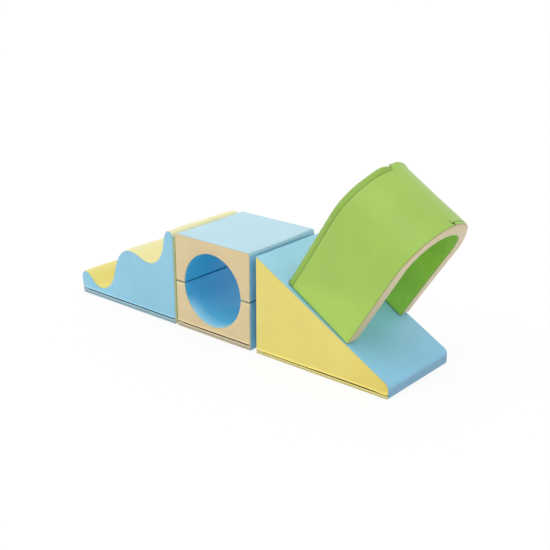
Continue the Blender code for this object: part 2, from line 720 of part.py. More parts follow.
def build_arch():
    """The arch that stands astride the ramp and leans a little downhill."""
    lift = Matrix.Translation((0, ARCH_DEPTH / 2, 3 * GAP + 2 * STRIP_THICKNESS))
    frame = make_frame("arch_frame", slope_place() @ lift)
    block = Block("arch", arch_outline(), ARCH_DEPTH, frame, ARCH_LEAN)
    run = pad_run(ARCH_SHOULDER_THICKNESS, EDGE_ROUND + ARCH_RIM_ROUND)
    all_places = stations(block)
    rim_start = ARCH_DEPTH / 2 - ARCH_RIM_ROUND
    body_places = [y for y in all_places if y < rim_start] + [rim_start - GAP]
    rim_places = [y for y in all_places if y > rim_start - GAP]
    add_core(block)
    add_wrap(block, "arch_near_outer_cover", ["lap", "near_side"], "green", places=body_places)
    add_wrap(block, "arch_far_outer_cover", ["far_side", "under_flap"], "green", places=body_places)
    rim_names = ["far_side", "under_flap", "slit", "lap", "near_side"]
    add_wrap(block, "arch_rim_band", rim_names, "green", places=rim_places)
    add_wrap(block, "arch_inner_cover", ["hollow"], "leaf")
    add_wrap(block, "arch_near_foot_cover", ["near_foot"], "green")
    add_wrap(block, "arch_far_foot_cover", ["far_foot"], "green")
    add_end_cover(block, "arch_downhill_cover", "beige", run, SIDE_CROWN)
    add_end_cover(block, "arch_uphill_cover", "green", run, NARROW_CROWN, far=True)
    straight = block._replace(outline=[stretch._replace(far_round=EDGE_ROUND) for stretch in block.outline])
    flap_start = FLAP_END - ARCH_DEPTH / 2
    flap_end = -flap_start
    flap_places = [flap_start + (flap_end - flap_start) * share for share in (0, *DEPTH_SHARES, 1)]
    add_wrap(straight, "arch_crown_flap", ["under_flap", "slit", "lap"], "green", level=-GAP - FLAP_THICKNESS,
             thickness=FLAP_THICKNESS, channel=FLAP_CHANNEL, places=flap_places)

    def place_point(along, outward, across):
        return leaned(block, (across, along, ARCH_HEIGHT - COVER + outward))

    add_zip(block, -ARCH_DEPTH / 2 + ZIP_END, rim_start - ZIP_END, place_point)
    middle = (ARCH_WIDTH - ARCH_LEG_THICKNESS) / 2
    low = -GAP - STRIP_THICKNESS
    add_strip(block, "arch_near_loop_strip", -middle, ARCH_STRIP_LENGTH, low)
    add_strip(block, "arch_far_loop_strip", middle, ARCH_STRIP_LENGTH, low)


build_wave()
build_half("lower", Matrix.Identity(4), "_front_cover", "_rear_cover", "hook_strip")
turned_over = Matrix.Translation((0, 0, BLOCK_HEIGHT)) @ Matrix.Rotation(pi, 4, "X")
build_half("upper", turned_over, "_rear_cover", "_front_cover", "loop_strip")
build_ramp()
build_arch()
bpy.context.view_layer.update()
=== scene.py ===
"""Looks of the soft play foam climber: sewn covers over foam, zips, strips, light and camera.

Every cover is rebuilt as a soft panel in the place of its CAD solid. A block is drawn as in the CAD
model: one outline in its own XZ plane, made of named stretches, lofted along its own Y with rounded
ends. On top of that comes what sewing and foam do to it: the seams pull in, the panels swell between
them, the fabric puckers beside each seam and lies a little uneven everywhere. All sizes are in metres.
"""

from collections import namedtuple
from math import asin, atan2, ceil, cos, exp, pi, radians, sin, sqrt, tan

import bpy
import numpy as np
from mathutils import Matrix, Vector, noise
from mathutils.geometry import delaunay_2d_cdt


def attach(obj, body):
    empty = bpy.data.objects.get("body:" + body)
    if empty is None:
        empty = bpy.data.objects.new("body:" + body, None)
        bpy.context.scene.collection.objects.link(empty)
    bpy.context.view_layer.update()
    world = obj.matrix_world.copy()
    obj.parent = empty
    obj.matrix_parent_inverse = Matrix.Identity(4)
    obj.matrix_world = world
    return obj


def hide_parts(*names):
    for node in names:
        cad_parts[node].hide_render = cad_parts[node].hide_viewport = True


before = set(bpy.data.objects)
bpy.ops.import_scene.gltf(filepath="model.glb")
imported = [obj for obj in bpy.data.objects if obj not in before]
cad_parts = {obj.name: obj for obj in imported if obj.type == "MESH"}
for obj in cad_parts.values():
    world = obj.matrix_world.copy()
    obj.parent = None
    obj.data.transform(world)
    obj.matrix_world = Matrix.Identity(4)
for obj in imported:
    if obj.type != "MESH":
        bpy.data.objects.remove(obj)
scene = bpy.context.scene
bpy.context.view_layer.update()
PHOTO_SIDE = 550

# Sizes and places of the blocks, as in the CAD model
BLOCK_DEPTH = 0.500
BLOCK_HEIGHT = 0.500
TUNNEL_LENGTH = 0.500
BORE_RADIUS = 0.188
WAVE_LENGTH = 0.735
RAMP_LENGTH = 0.764
RAMP_HEIGHT = 0.496
RAMP_TOE = 0.068
ARCH_WIDTH = 0.500
ARCH_HEIGHT = 0.674
ARCH_DEPTH = 0.427
ARCH_LEG_THICKNESS = 0.070
ARCH_CROWN_THICKNESS = 0.068
ARCH_INNER_LEG = 0.445
WAVE_GAP = 0.016
RAMP_GAP = 0.038
ARCH_DOWN_SLOPE = 0.625
ARCH_ASIDE = 0.004
ARCH_YAW = radians(-2.6)
ARCH_LEAN = radians(2.6)
ARCH_LIFT = 0.0039
HALF_HEIGHT = 0.24805

# Frame of the ramp at the foot of its back, and frame on its slope below the arch with X to the far
# side and Y uphill
RAMP_PLACE = Matrix.Translation((TUNNEL_LENGTH / 2 + RAMP_GAP, 0, 0))
SLOPE_PLACE = (RAMP_PLACE @ Matrix.Translation((0, 0, RAMP_HEIGHT))
               @ Matrix.Rotation(atan2(RAMP_HEIGHT - RAMP_TOE, RAMP_LENGTH), 4, "Y")
               @ Matrix.Translation((ARCH_DOWN_SLOPE, ARCH_ASIDE, 0))
               @ Matrix.Rotation(ARCH_YAW, 4, "Z") @ Matrix.Rotation(pi / 2, 4, "Z"))

# Rounded edges of the soft panels
EDGE_ROUND = 0.004
SPLIT_ROUND = 0.013
SPLIT_EDGE_ROUND = 0.006
SOFT_ROUND = 0.016
TIGHT_ROUND = 0.003
APEX_ROUND = 0.002
TOE_ROUND = 0.032
TOE_BASE_ROUND = 0.010
LEAST_ROUND = 0.001
ARCH_RIM_ROUND = 0.046
ARCH_TOE_ROUND = 0.010

# Zips, as in the CAD model, and the fly that hangs over them
ZIP_HEIGHT = 0.027
RAMP_ZIP_HEIGHT = 0.019
ZIP_SLIT = 0.009
FLY_LIFT = 0.0025
FLY_BULGE = 0.0050
FLY_RISE = 0.008
STRIP_RISE = 0.003
FLY_FADE = 0.010

# Fabric and seams
SEAM_GAP = 0.0003
END_SEAM = 0.0026
FABRIC = 0.0020
SEAM_DEPTH = 0.0012
SEAM_WIDTH = 0.0030
PUCKER_HEIGHT = 0.0007
PUCKER_LENGTH = 0.016
PUCKER_REACH = 0.022
UNEVEN_HEIGHT = 0.0012
UNEVEN_LENGTH = 0.140
DIMPLE_HEIGHT = 0.00035
DIMPLE_LENGTH = 0.045
WRAP_CROWN = 0.0030
SIDE_CROWN = 0.0040
CROWN_RUN = 0.060
FACING_CROWN = 0.3
FOAM_INSET = 0.0050
LIP_LENGTH = 0.018
# Painted highlight along the lips of flies and strips: seam values above the mark, of this tone and width
LIP_MARK = 1.0
LIP_HIGHLIGHT_TONE = 1.32
LIP_HIGHLIGHT_WIDTH = 0.0075
LEAST_HIGHLIGHT = 0.001
FOLD_LINE = 0.001
FOLD_WIDTH = 0.0040
FOLD_TONE = 0.66
# Painted highlight along the shoulder of the tunnel's lower half at its split
SPLIT_HIGHLIGHT_WIDTH = 0.011
SPLIT_HIGHLIGHT_SHARE = 0.85
ARCH_CROWN = 0.0018
ZIP_PITCH = 0.0015

# Where the padding stands prouder than its pattern
TOP_SWELL = 0.005
TOP_SWELL_RUN = 0.250
TOP_SWELL_DEPTH = 0.020
RIM_SWELL = 0.012
RIM_SWELL_TURN = radians(102)
RIM_SWELL_SPAN = radians(11)
RIM_SWELL_START = 0.050
RIM_SWELL_RUN = 0.030
RIM_SWELL_INNER = 0.190

# How far the downhill end of the arch's far leg stands back, at heights from its foot to the crown
LEG_BACK = ((0.000, 0.0245), (0.100, 0.0235), (0.200, 0.0210), (0.300, 0.0180), (0.400, 0.0145),
            (0.445, 0.0120), (0.674, 0.0115))
LEG_BACK_START = 0.110
LEG_BACK_RUN = 0.100

# Flap over the crown of the arch, and its height above the skin at places from its downhill end
FLAP_REACH = 0.150
FLAP_LAP = 0.008
FLAP_END = 0.018
FLAP_HEIGHTS = ((0.000, 0.0016), (0.050, 0.0034), (0.170, 0.0042), (0.250, 0.0065), (0.335, 0.0080),
                (0.365, 0.0092), (0.392, 0.0150))
FLAP_NEAR_START = 0.004
FLAP_NEAR_RUN = 0.060
FLAP_FAR_RUN = 0.014
FLAP_RIDGE = 0.0036
FLAP_RELIEF_WIDTH = 0.008
FLAP_CHANNEL = 0.0018
FLAP_HEM = 0.0014
FLAP_STEPS = 26
# Dark lines along the flap's ends, and ticks of this length along its near edge at the corners: stitching,
# with painted shadow of the gap under the flap's edges
FLAP_STITCH_AND_SHADOW = 0.0040
FLAP_TICK = 0.0190

# Light, ground and camera
SKY_STRENGTH = 0.90
KEY_STRENGTH = 0.5
KEY_ANGLE = radians(50)
KEY_FROM = (-0.10, -0.45, 0.88)
FLOOR_TONE = 0.95
FLOOR_GLOW = 0.86
GLOW_STRENGTH = 1.01
FLOOR_REACH = 30.0
FLOOR_LEVEL = -0.0005
CAMERA_ANGLES = (radians(40.20), radians(20.05))
CAMERA_OFFSETS = (5.0462, 0.5029, 0.2603)
FOCAL_PIXELS = 974.8
SENSOR = 36.0
CLIP_END = 100
WHITE = (1, 1, 1, 1)

# Finishes: colours as seen, 0 to 255, with where they fade, and the slot that each belongs to
FABRICS = {
    "sky": {"colour": (141, 199, 223)},
    # The slope's cover: paler than the sky cover on its upper part, painted light, and darker downhill,
    # painted shade of the arch
    "sky_slope": {"colour": (156, 214, 236), "fades": (("X", 0.50, 1.02, (136, 199, 230)),)},
    # The toe's cover: darker towards its foot, painted shade
    "sky_toe": {"colour": (136, 199, 230), "fades": (("Z", 0.062, 0.040, (114, 164, 195)),)},
    # The tunnel's side in the gap to the ramp: a little darker than the sky cover, painted shade, and paler
    # along the tunnel's top edge, painted light
    "sky_gap": {"colour": (138, 196, 220), "fades": (("Z", 0.455, 0.495, (164, 216, 234)),)},
    # Border strip below the wave's zip: greyer than its cover, painted shade of the strip turned under
    "sky_border": {"colour": (147, 180, 191), "fold": 0.0125},
    # The tunnel's top: a paler copy of the sky cover, painted sheen of the light it faces
    "pale": {"colour": (180, 219, 232)},
    # The bore's lining: a deeper blue than the sky cover, painted shade inside the bore
    "bore": {"colour": (70, 181, 226)},
    # The floor of the bore: paler low down and much paler towards the near opening, painted light and painted
    # reflection
    "bore_floor": {"colour": (74, 184, 228), "fades": (("Z", 0.17, 0.00, (130, 224, 246)),
                                                   ("Y", -0.17, -0.25, (182, 234, 248)),
                                                   ("Z", 0.12, 0.19, (74, 181, 225)))},
    # The wave's top: paler towards the high crests, a painted sheen
    "lemon": {"colour": (231, 219, 118), "fades": (("Z", 0.06, 0.50, (240, 236, 186)),)},
    # The wave's back, in the narrow gap to the tunnel: paler than the wave's top, painted light
    "lemon_back": {"colour": (250, 244, 178)},
    "lemon_side": {"colour": (228, 212, 112), "fades": (("X", 0.80, 1.05, (224, 204, 96)),)},
    # Border strip below the ramp's zip: greyer than its cover, painted shade
    "lemon_border": {"colour": (214, 202, 126), "fold": 0.0085},
    "beige": {"colour": (218, 196, 150)},
    # Border strip below the tunnel's zips: greyer than its cover, painted shade
    "beige_border": {"colour": (194, 181, 152), "fold": 0.0125},
    "beige_end": {"colour": (206, 188, 148), "seam_tone": 0.52},
    # The split's lips: near-black, painted shade in the gap between the halves, and pale, a painted highlight
    # on the lower half's rounded lip
    "split_shade": {"colour": (44, 50, 52)},
    "split_lip": {"colour": (200, 208, 180)},
    # The arch's outer cover: lighter towards its feet, painted light
    "green": {"colour": (157, 194, 80), "fades": (("Z", 0.50, 0.38, (165, 203, 83)),)},
    # The flap: its dark seam tone paints, besides stitching, the shadow under the flap's ends
    "green_flap": {"colour": (157, 194, 80), "seam_tone": 0.35},
    # The rolled rim and uphill end of the arch: darker than its outer cover, painted shade of faces turned
    # from the light
    "green_rim": {"colour": (138, 177, 60), "seam_tone": 0.62},
    # The arch's hollow: a stronger green than its outer cover, painted light in the hollow
    "leaf": {"colour": (152, 203, 72), "mottle": 0.10},
}
FOAM_COLOUR = (226, 214, 176)
METAL_COLOUR = (178, 176, 172)
# Tape colours of the zips: dark, the wave's near-black, partly their own colour and partly painted shade of
# the slits under the flies
BROWN_TAPE = (58, 40, 28)
ZIP_TAPES = {"wave": (20, 26, 40), "lower": BROWN_TAPE, "upper": BROWN_TAPE, "ramp": BROWN_TAPE,
             "arch": (74, 92, 44)}
HOOK_COLOUR = (205, 203, 198)
LOOP_COLOUR = (228, 226, 220)
SLOTS = {name: "cover_" + name.split("_")[0] for name in FABRICS}
SLOTS.update({"split_shade": "cover_beige", "split_lip": "cover_beige", "foam": "foam"})

# Patterns: scale in waves a metre and detail, the tones they span, and the strength and depth of their relief
NOISE_RANGE = (0.3, 0.7)
SEAM_REACH = (0.0005, 0.0045)
FABRIC_ROUGHNESS = (0.37, 0.47)
BROAD_NOISE, FINE_NOISE, FINE_TONES = (6.0, 3.0), (80.0, 4.0), (0.985, 1.015)
PEBBLE_SCALE, PEBBLE_RELIEF = 800.0, (0.25, 0.0002)
CREASE_NOISE, CREASE_RELIEF = (38.0, 2.0), (0.5, 0.0008)
RIB_TONES, RIB_RELIEF = (0.55, 1.15), (0.8, 0.0004)
WEAR_NOISE, WEAR_TONES = (120.0, 2.0), (0.9, 1.1)
BRUSH_NOISE, BRUSH_STRETCH, BRUSH_RELIEF = (900.0, 3.0), (1, 1, 9), (0.2, 0.0001)
METAL_TONES, METAL_ROUGHNESS = (0.85, 1.05), (0.26, 0.44)
PILE_NOISE, PILE_TONES, PILE_RELIEF = (1400.0, 3.0), (0.75, 1.15), (0.9, 0.0006)
CELL_SCALE, CELL_RANGE, CELL_TONES, CELL_RELIEF = 600.0, (0.0, 0.6), (0.7, 1.05), (0.7, 0.0008)

# How finely the surfaces are drawn
GRID = 0.011
LEAST_CURVE_STEPS = 6
CURVE_SPARE = 1.2
STRAIGHT_TURN = radians(25)
SHARP_ANGLE = radians(50)
FILL = 0.012
FILL_CLEAR = 0.6
TRIANGLE_RISE = sqrt(0.75)
TINY = 1e-12

# The wave's outline and its handles, as in the CAD model
WAVE_SHARES = ((0.000, 0.934, 90), (0.041, 1.000, 180), (0.103, 0.820, 260), (0.260, 0.594, 180),
               (0.448, 0.660, 180), (0.627, 0.380, 256), (0.800, 0.124, 180), (0.974, 0.256, 180),
               (1.012, 0.170, 270))
HANDLE_SHARES = ((0.40, 0.38), (0.30, 0.60), (0.34, 0.42), (0.32, 0.36),
                 (0.42, 0.34), (0.34, 0.42), (0.42, 0.40), (0.39, 0.39))

# Places of the points beside seams, over rounded ends and in the foam
NEAR_SEAM_STATIONS = (0.0012, 0.0026, 0.0045, 0.0075, 0.0120, 0.0185)
LIP_DEPTH_SHARES = (1.0, 0.62, 0.33, 0.13, 0.03, 0.0)
FOAM_SHARES = (0.0, 0.25, 0.5, 0.75, 1.0)
CORNER_STEPS = 3

# Other settings of the panels
RUN_SPARE = 0.05
STRIP_SEED = 0.5
UNSEWN = ("lip", "split_right", "split_left")
CDT_NEAR = 1e-7

# How far the fly sags lower than its own droop, at places from the left end to the right end of a zip
WAVE_SAGS = ((0.0, 0.0), (0.2, 0.0006), (0.5, -0.0004), (0.8, 0.0004), (1.0, 0.0))
TUNNEL_SAGS = ((0.0, 0.0), (0.3, 0.0005), (0.7, -0.0003), (1.0, 0.0))
RAMP_SAGS = ((0.0, 0.0020), (0.08, 0.0030), (0.40, 0.0022), (0.50, 0.0004), (0.86, 0.0002),
             (0.91, 0.0008), (0.95, 0.0034), (1.0, 0.0034))

# The corner of a stretch is the one at its end, and its near and far edges are at the ends of the block
Stretch = namedtuple("Stretch", "name points corner crown near_round far_round",
                     defaults=(0.0, 0.0, EDGE_ROUND, EDGE_ROUND))
Block = namedtuple("Block", "name body outline depth place lean swells", defaults=(0.0, ()))


def line(start, end):
    """Points of a straight run."""
    start, end = Vector(start), Vector(end)
    steps = max(1, ceil((end - start).length / GRID))
    return [start.lerp(end, step / steps) for step in range(steps + 1)]


def arc(centre, radius_x, radius_z, first, last):
    """Points of an elliptical arc between two angles."""
    steps = max(1, ceil(abs(last - first) * max(radius_x, radius_z) / GRID))
    angles = [first + (last - first) * step / steps for step in range(steps + 1)]
    return [Vector((centre[0] + radius_x * cos(angle), centre[1] + radius_z * sin(angle)))
            for angle in angles]


def curve(start, start_angle, end, end_angle, handle_shares):
    """Points of a cubic curve whose handles are shares of its chord."""
    first, last = Vector(start), Vector(end)
    chord = (last - first).length
    first_handle = first + Vector((cos(start_angle), sin(start_angle))) * chord * handle_shares[0]
    last_handle = last - Vector((cos(end_angle), sin(end_angle))) * chord * handle_shares[1]
    steps = max(LEAST_CURVE_STEPS, ceil(chord / GRID * CURVE_SPARE))
    return [first * (1 - t) ** 3 + first_handle * 3 * t * (1 - t) ** 2
            + last_handle * 3 * t * t * (1 - t) + last * t ** 3
            for t in (step / steps for step in range(steps + 1))]


def joined(*runs):
    """Chain runs of points that share their ends."""
    points = list(runs[0])
    for run in runs[1:]:
        points += run[1:]
    return points


def moved_in(previous, point, following, distance_in, distance_out):
    """Move a corner inwards, so that its two edges shift by their own distances."""
    edge_in = (point - previous).normalized()
    edge_out = (following - point).normalized()
    normal_in = Vector((edge_in.y, -edge_in.x))
    normal_out = Vector((edge_out.y, -edge_out.x))
    cross = normal_in.x * normal_out.y - normal_in.y * normal_out.x
    if abs(cross) < sin(STRAIGHT_TURN):
        mean = (distance_in + distance_out) / 2
        return point - (normal_in + normal_out) * mean / (1 + normal_in.dot(normal_out))
    return point + Vector((distance_out * normal_in.y - distance_in * normal_out.y,
                           distance_in * normal_out.x - distance_out * normal_in.x)) / cross


def corner_arc(previous, corner, following, radius):
    """Points of the arc that rounds a corner, as many on each side of its middle."""
    way_in = (corner - previous).normalized()
    way_out = (following - corner).normalized()
    turn = atan2(way_in.x * way_out.y - way_in.y * way_out.x, way_in.dot(way_out))
    start = corner - way_in * radius * tan(abs(turn) / 2)
    side = 1 if turn > 0 else -1
    centre = start + Vector((-way_in.y, way_in.x)) * radius * side
    steps = 2 * CORNER_STEPS
    return [centre + Matrix.Rotation(turn * step / steps, 2) @ (start - centre)
            for step in range(steps + 1)]


def unit(rows):
    """Each row at a length of 1."""
    return rows / np.maximum(np.linalg.norm(rows, axis=1, keepdims=True), TINY)


def offset_run(points, distance):
    """A run of points moved inwards, square to itself."""
    run = np.array([tuple(point) for point in points])
    edges = unit(np.diff(run, axis=0))
    inward = np.stack([-edges[:, 1], edges[:, 0]], axis=1)
    before, after = np.vstack([inward[:1], inward]), np.vstack([inward, inward[-1:]])
    return run + distance * (before + after) / (1 + (before * after).sum(axis=1, keepdims=True))


def fitted_run(run, start, end):
    """Space a run's points evenly anew along its own line, so that it starts and ends at two points."""
    spare = run[[0, -1]] + unit(run[[0, -1]] - run[[1, -2]]) * RUN_SPARE
    longer = np.vstack([spare[:1], run, spare[1:]])
    edges = np.diff(longer, axis=0)
    lengths = np.linalg.norm(edges, axis=1)
    along = np.concatenate([[0], np.cumsum(lengths)])
    ends = []
    for point in (start, end):
        shares = ((point - longer[:-1]) * edges).sum(axis=1) / lengths ** 2
        shares = np.clip(shares, 0, 1)
        away = np.linalg.norm(longer[:-1] + shares[:, None] * edges - point, axis=1)
        nearest = away.argmin()
        ends.append(along[nearest] + shares[nearest] * lengths[nearest])
    places = (along[1:-1] - along[1]) / (along[-2] - along[1]) * (ends[1] - ends[0]) + ends[0]
    fitted = np.stack([np.interp(places, along, longer[:, axis]) for axis in (0, 1)], axis=1)
    fitted[0], fitted[-1] = start, end
    return fitted


def outline_ring(outline, distances):
    """Move an outline in by a distance for each stretch and round its corners: one run a stretch."""
    bends = []
    for place, stretch in enumerate(outline):
        following = (place + 1) % len(outline)
        before, corner, after = stretch.points[-2], stretch.points[-1], outline[following].points[1]
        moved = moved_in(before, corner, after, distances[place], distances[following])
        bend = [moved]
        if stretch.corner:
            radius = max(stretch.corner - max(distances[place], distances[following]), LEAST_ROUND)
            bend = corner_arc(moved - (corner - before), moved, moved + (after - corner), radius)
        bends.append(np.array([tuple(point) for point in bend]))
    runs = []
    for place, stretch in enumerate(outline):
        start, end = bends[place - 1], bends[place]
        start, end = start[len(start) // 2:], end[:len(end) // 2 + 1]
        run = fitted_run(offset_run(stretch.points, distances[place]), start[-1], end[0])
        runs.append(np.vstack([start[:-1], run, end[1:]]))
    return runs


def rounded_inset(radius, depth, level=0.0):
    """How far a surface lies inside the outline, level below the skin and depth in from the end face."""
    if depth >= radius:
        return level
    reach = radius - level
    rise = radius - depth
    if rise >= reach:
        return radius
    return radius - sqrt(reach * reach - rise * rise)


def insets_at(block, y, level=0.0):
    """The inset of each stretch at a place along the block's depth."""
    depth = block.depth / 2 - abs(y)
    return tuple(rounded_inset(stretch.near_round if y < 0 else stretch.far_round, depth, level)
                 for stretch in block.outline)


def clipped(outline, height, above):
    """The part of an outline above or below a height, closed there by the lip of a slit."""
    kept = []
    side = 1 if above else -1
    for stretch in outline:
        points = []
        for first, second in zip(stretch.points, stretch.points[1:]):
            inside = [side * (point.y - height) > 0 for point in (first, second)]
            if inside[0] and not points:
                points.append(first)
            if inside[0] != inside[1]:
                points.append(first.lerp(second, (height - first.y) / (second.y - first.y)))
            if inside[1]:
                points.append(second)
        if len(points) > 1:
            whole_end = points[-1] == stretch.points[-1]
            kept.append(stretch._replace(points=points, corner=stretch.corner if whole_end else 0.0))
    closed = []
    for index, stretch in enumerate(kept):
        closed.append(stretch)
        start, end = stretch.points[-1], kept[(index + 1) % len(kept)].points[0]
        if (start - end).length > FILL:
            closed.append(Stretch("lip", line(start, end), near_round=END_SEAM, far_round=END_SEAM))
    return closed


def rows_from_seam(length):
    """Places from 0 to a length, close together beside the two seams and at the grid's step between."""
    near = [step for step in NEAR_SEAM_STATIONS if step < length / 2]
    first = near[-1] if near else 0.0
    middle = length - 2 * first
    steps = max(1, ceil(middle / GRID))
    places = [0.0] + near + [first + middle * step / steps for step in range(1, steps)]
    return places + [length - step for step in reversed(near)] + [length]


def smooth_share(value):
    """Rise smoothly from 0 to 1."""
    share = np.clip(value, 0.0, 1.0)
    return share * share * (3 - 2 * share)


def puckers(points, reach, seed):
    """Ripples that run away from a seam and die out: points on the seam, and how far from it."""
    shift = Vector((5 * seed, seed, seed))
    ripples = np.array([noise.noise(Vector(point) / PUCKER_LENGTH + shift) * PUCKER_HEIGHT
                        * exp(-(distance / PUCKER_REACH) ** 2) for point, distance in zip(points, reach)])
    return ripples * smooth_share(reach / SEAM_WIDTH)


def sewn_height(points, reach, seed):
    """How high the fabric lies: pulled in by a seam, and in broad waves and smaller dimples clear of it."""
    shift = Vector((seed, 2 * seed, 3 * seed))
    uneven = np.array([noise.noise(Vector(point) / UNEVEN_LENGTH + shift) * UNEVEN_HEIGHT
                       + noise.noise(Vector(point) / DIMPLE_LENGTH - shift) * DIMPLE_HEIGHT
                       for point in points])
    return (-SEAM_DEPTH * np.exp(-(reach / SEAM_WIDTH) ** 2)
            + uneven * smooth_share(reach / PUCKER_REACH))


def to_world(block, points):
    """Lean a block's points and set them in their place."""
    leaned = points + sum(swell(points) for swell in block.swells)
    leaned[:, 1] -= leaned[:, 2] * tan(block.lean)
    matrix = np.array(block.place)
    return leaned @ matrix[:3, :3].T + matrix[:3, 3]


def add_object(name, data):
    """Put an object with its data into the scene."""
    thing = bpy.data.objects.new(name, data)
    scene.collection.objects.link(thing)
    return thing


def add_piece(block, part, vertices, faces, finish, seam, node=None):
    """Make a smooth padded piece of a block that rides on its body and stands for its CAD node.

    The piece knows how far each of its points is from a seam, and values above LIP_MARK mark painted
    highlights. A panel stands for its cover.
    """
    name = block.name + "_" + part
    mesh = bpy.data.meshes.new(name)
    mesh.from_pydata(to_world(block, vertices).tolist(), [], faces)
    mesh.validate()
    mesh.shade_smooth()
    mesh.set_sharp_from_angle(angle=SHARP_ANGLE)
    mesh.materials.append(MATERIALS[finish])
    mesh.attributes.new("seam", "FLOAT", "POINT").data.foreach_set("value", seam)
    piece = add_object(name, mesh)
    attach(piece, block.body)
    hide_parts(block.name + "_" + (node or part.replace("_panel", "_cover")))


def ring_faces(rows, count):
    """Faces between closed rings that follow each other."""
    return [(row * count + index, row * count + (index + 1) % count,
             (row + 1) * count + (index + 1) % count, (row + 1) * count + index)
            for row in range(rows - 1) for index in range(count)]


def grid_faces(rows, columns):
    """Faces of a grid of points, and the points round its border."""
    index = np.arange(rows * columns).reshape(rows, columns)
    faces = np.stack([index[:-1, :-1], index[1:, :-1], index[1:, 1:], index[:-1, 1:]], axis=2)
    border = np.concatenate([index[0, ::-1], index[1:, 0], index[-1, 1:], index[-2:0:-1, -1]])
    return faces.reshape(-1, 4).tolist(), border.tolist()


def point_normals(vertices, faces):
    """Normals at the vertices of a mesh of quads and triangles."""
    normals = np.zeros_like(vertices)
    for size, *crossed in ((3, (0, 1), (0, 2)), (4, (0, 2), (1, 3))):
        chosen = np.array([face for face in faces if len(face) == size], int)
        if len(chosen):
            corners = vertices[chosen]
            face_normals = np.cross(*(corners[:, end] - corners[:, start] for start, end in crossed))
            for column in range(size):
                np.add.at(normals, chosen[:, column], face_normals)
    return unit(normals)


def add_shell(block, part, outer, inner, faces, border, finish, seam, node=None):
    """Make a piece of an outer and an inner surface with the same faces, joined round their border."""
    size = len(outer)
    solid = list(faces) + [tuple(index + size for index in reversed(face)) for face in faces]
    solid += [(second, first, first + size, second + size)
              for first, second in zip(border, border[1:] + border[:1])]
    add_piece(block, part, np.vstack([outer, inner]), solid, finish, np.tile(seam, 2), node)


def set_at(ring, y):
    """Set a flat ring at a place along the depth."""
    return np.stack([ring[:, 0], np.full(len(ring), y), ring[:, 1]], axis=1)


def from_ends(places):
    """How far each place of a run is from the nearer of its ends."""
    return np.minimum(places - places[0], places[-1] - places)


def wrap_panel(block, part, finish, seed, stretches=None, node=None, start=END_SEAM, end=END_SEAM,
               sewn_ends=True, sewn_sides=True):
    """A panel that wraps the block along some of its stretches, pulled in at all four of its seams."""
    order = [stretch.name for stretch in block.outline]
    chosen = [order.index(name) for name in stretches or [part.replace("_panel", "")]]
    across = np.array(rows_from_seam(block.depth - start - end)) + start - block.depth / 2
    rings = {}
    rows = []
    for y in across:
        insets = insets_at(block, y)
        if insets not in rings:
            runs = outline_ring(block.outline, insets)
            rings[insets] = np.vstack([runs[chosen[0]]] + [runs[index][1:] for index in chosen[1:]])
        rows.append(set_at(rings[insets], y))
    grid = np.array(rows)
    for side, beside in ((0, 1), (-1, -2)):
        grid[:, side] += unit(grid[:, beside] - grid[:, side]) * SEAM_GAP
    middle = grid[len(across) // 2]
    along = np.concatenate([[0], np.cumsum(np.linalg.norm(np.diff(middle, axis=0), axis=1))])
    outer = grid.reshape(-1, 3)
    faces, border = grid_faces(*grid.shape[:2])
    normals = point_normals(outer, faces)
    side_reach, end_reach = (reach.ravel() for reach in np.meshgrid(from_ends(along), from_ends(across)))
    side_reach += 0.0 if sewn_sides else PUCKER_REACH
    end_reach += 0.0 if sewn_ends else PUCKER_REACH
    reach = np.minimum(side_reach, end_reach)
    height = sewn_height(outer, reach, seed)
    height += puckers(outer * (1, 0, 1), end_reach, seed)
    height += puckers(outer * (0, 1, 0), side_reach, seed + 1)
    crown = WRAP_CROWN * max(block.outline[index].crown for index in chosen)
    height += crown * smooth_share(side_reach / CROWN_RUN) * smooth_share(end_reach / CROWN_RUN)
    outer = outer + normals * height[:, None]
    add_shell(block, part, outer, outer - normals * FABRIC, faces, border, finish, reach, node)


def inside_outline(points, ring):
    """Which points lie inside a closed ring, by counting crossings."""
    x, z = points[:, 0, None], points[:, 1, None]
    first, second = ring, np.roll(ring, -1, axis=0)
    straddles = (first[:, 1] > z) != (second[:, 1] > z)
    rise = np.where(second[:, 1] == first[:, 1], TINY, second[:, 1] - first[:, 1])
    crossing = first[:, 0] + (z - first[:, 1]) * (second[:, 0] - first[:, 0]) / rise
    return (straddles & (x < crossing)).sum(axis=1) % 2 == 1


def distance_to_ring(points, ring, counted=slice(None)):
    """The distance from each point to the edges of a closed ring that count, and the nearest point."""
    first = ring[counted]
    edge = np.roll(ring, -1, axis=0)[counted] - first
    offset = points[:, None, :] - first[None]
    share = np.clip((offset * edge).sum(axis=2) / np.maximum((edge * edge).sum(axis=1), TINY), 0, 1)
    nearest = first + share[..., None] * edge
    distances = np.linalg.norm(points[:, None, :] - nearest, axis=2)
    best = distances.argmin(axis=1)
    rows = np.arange(len(points))
    return distances[rows, best], nearest[rows, best]


def fill_points(ring):
    """Points of a triangular grid inside a ring, clear of its edge."""
    low, high = ring.min(axis=0), ring.max(axis=0)
    rows = []
    for index, z in enumerate(np.arange(low[1], high[1], FILL * TRIANGLE_RISE)):
        x = np.arange(low[0] + (index % 2) * FILL / 2, high[0], FILL)
        rows.append(np.stack([x, np.full_like(x, z)], axis=1))
    points = np.vstack(rows)
    points = points[inside_outline(points, ring)]
    return points[distance_to_ring(points, ring)[0] > FILL * FILL_CLEAR]


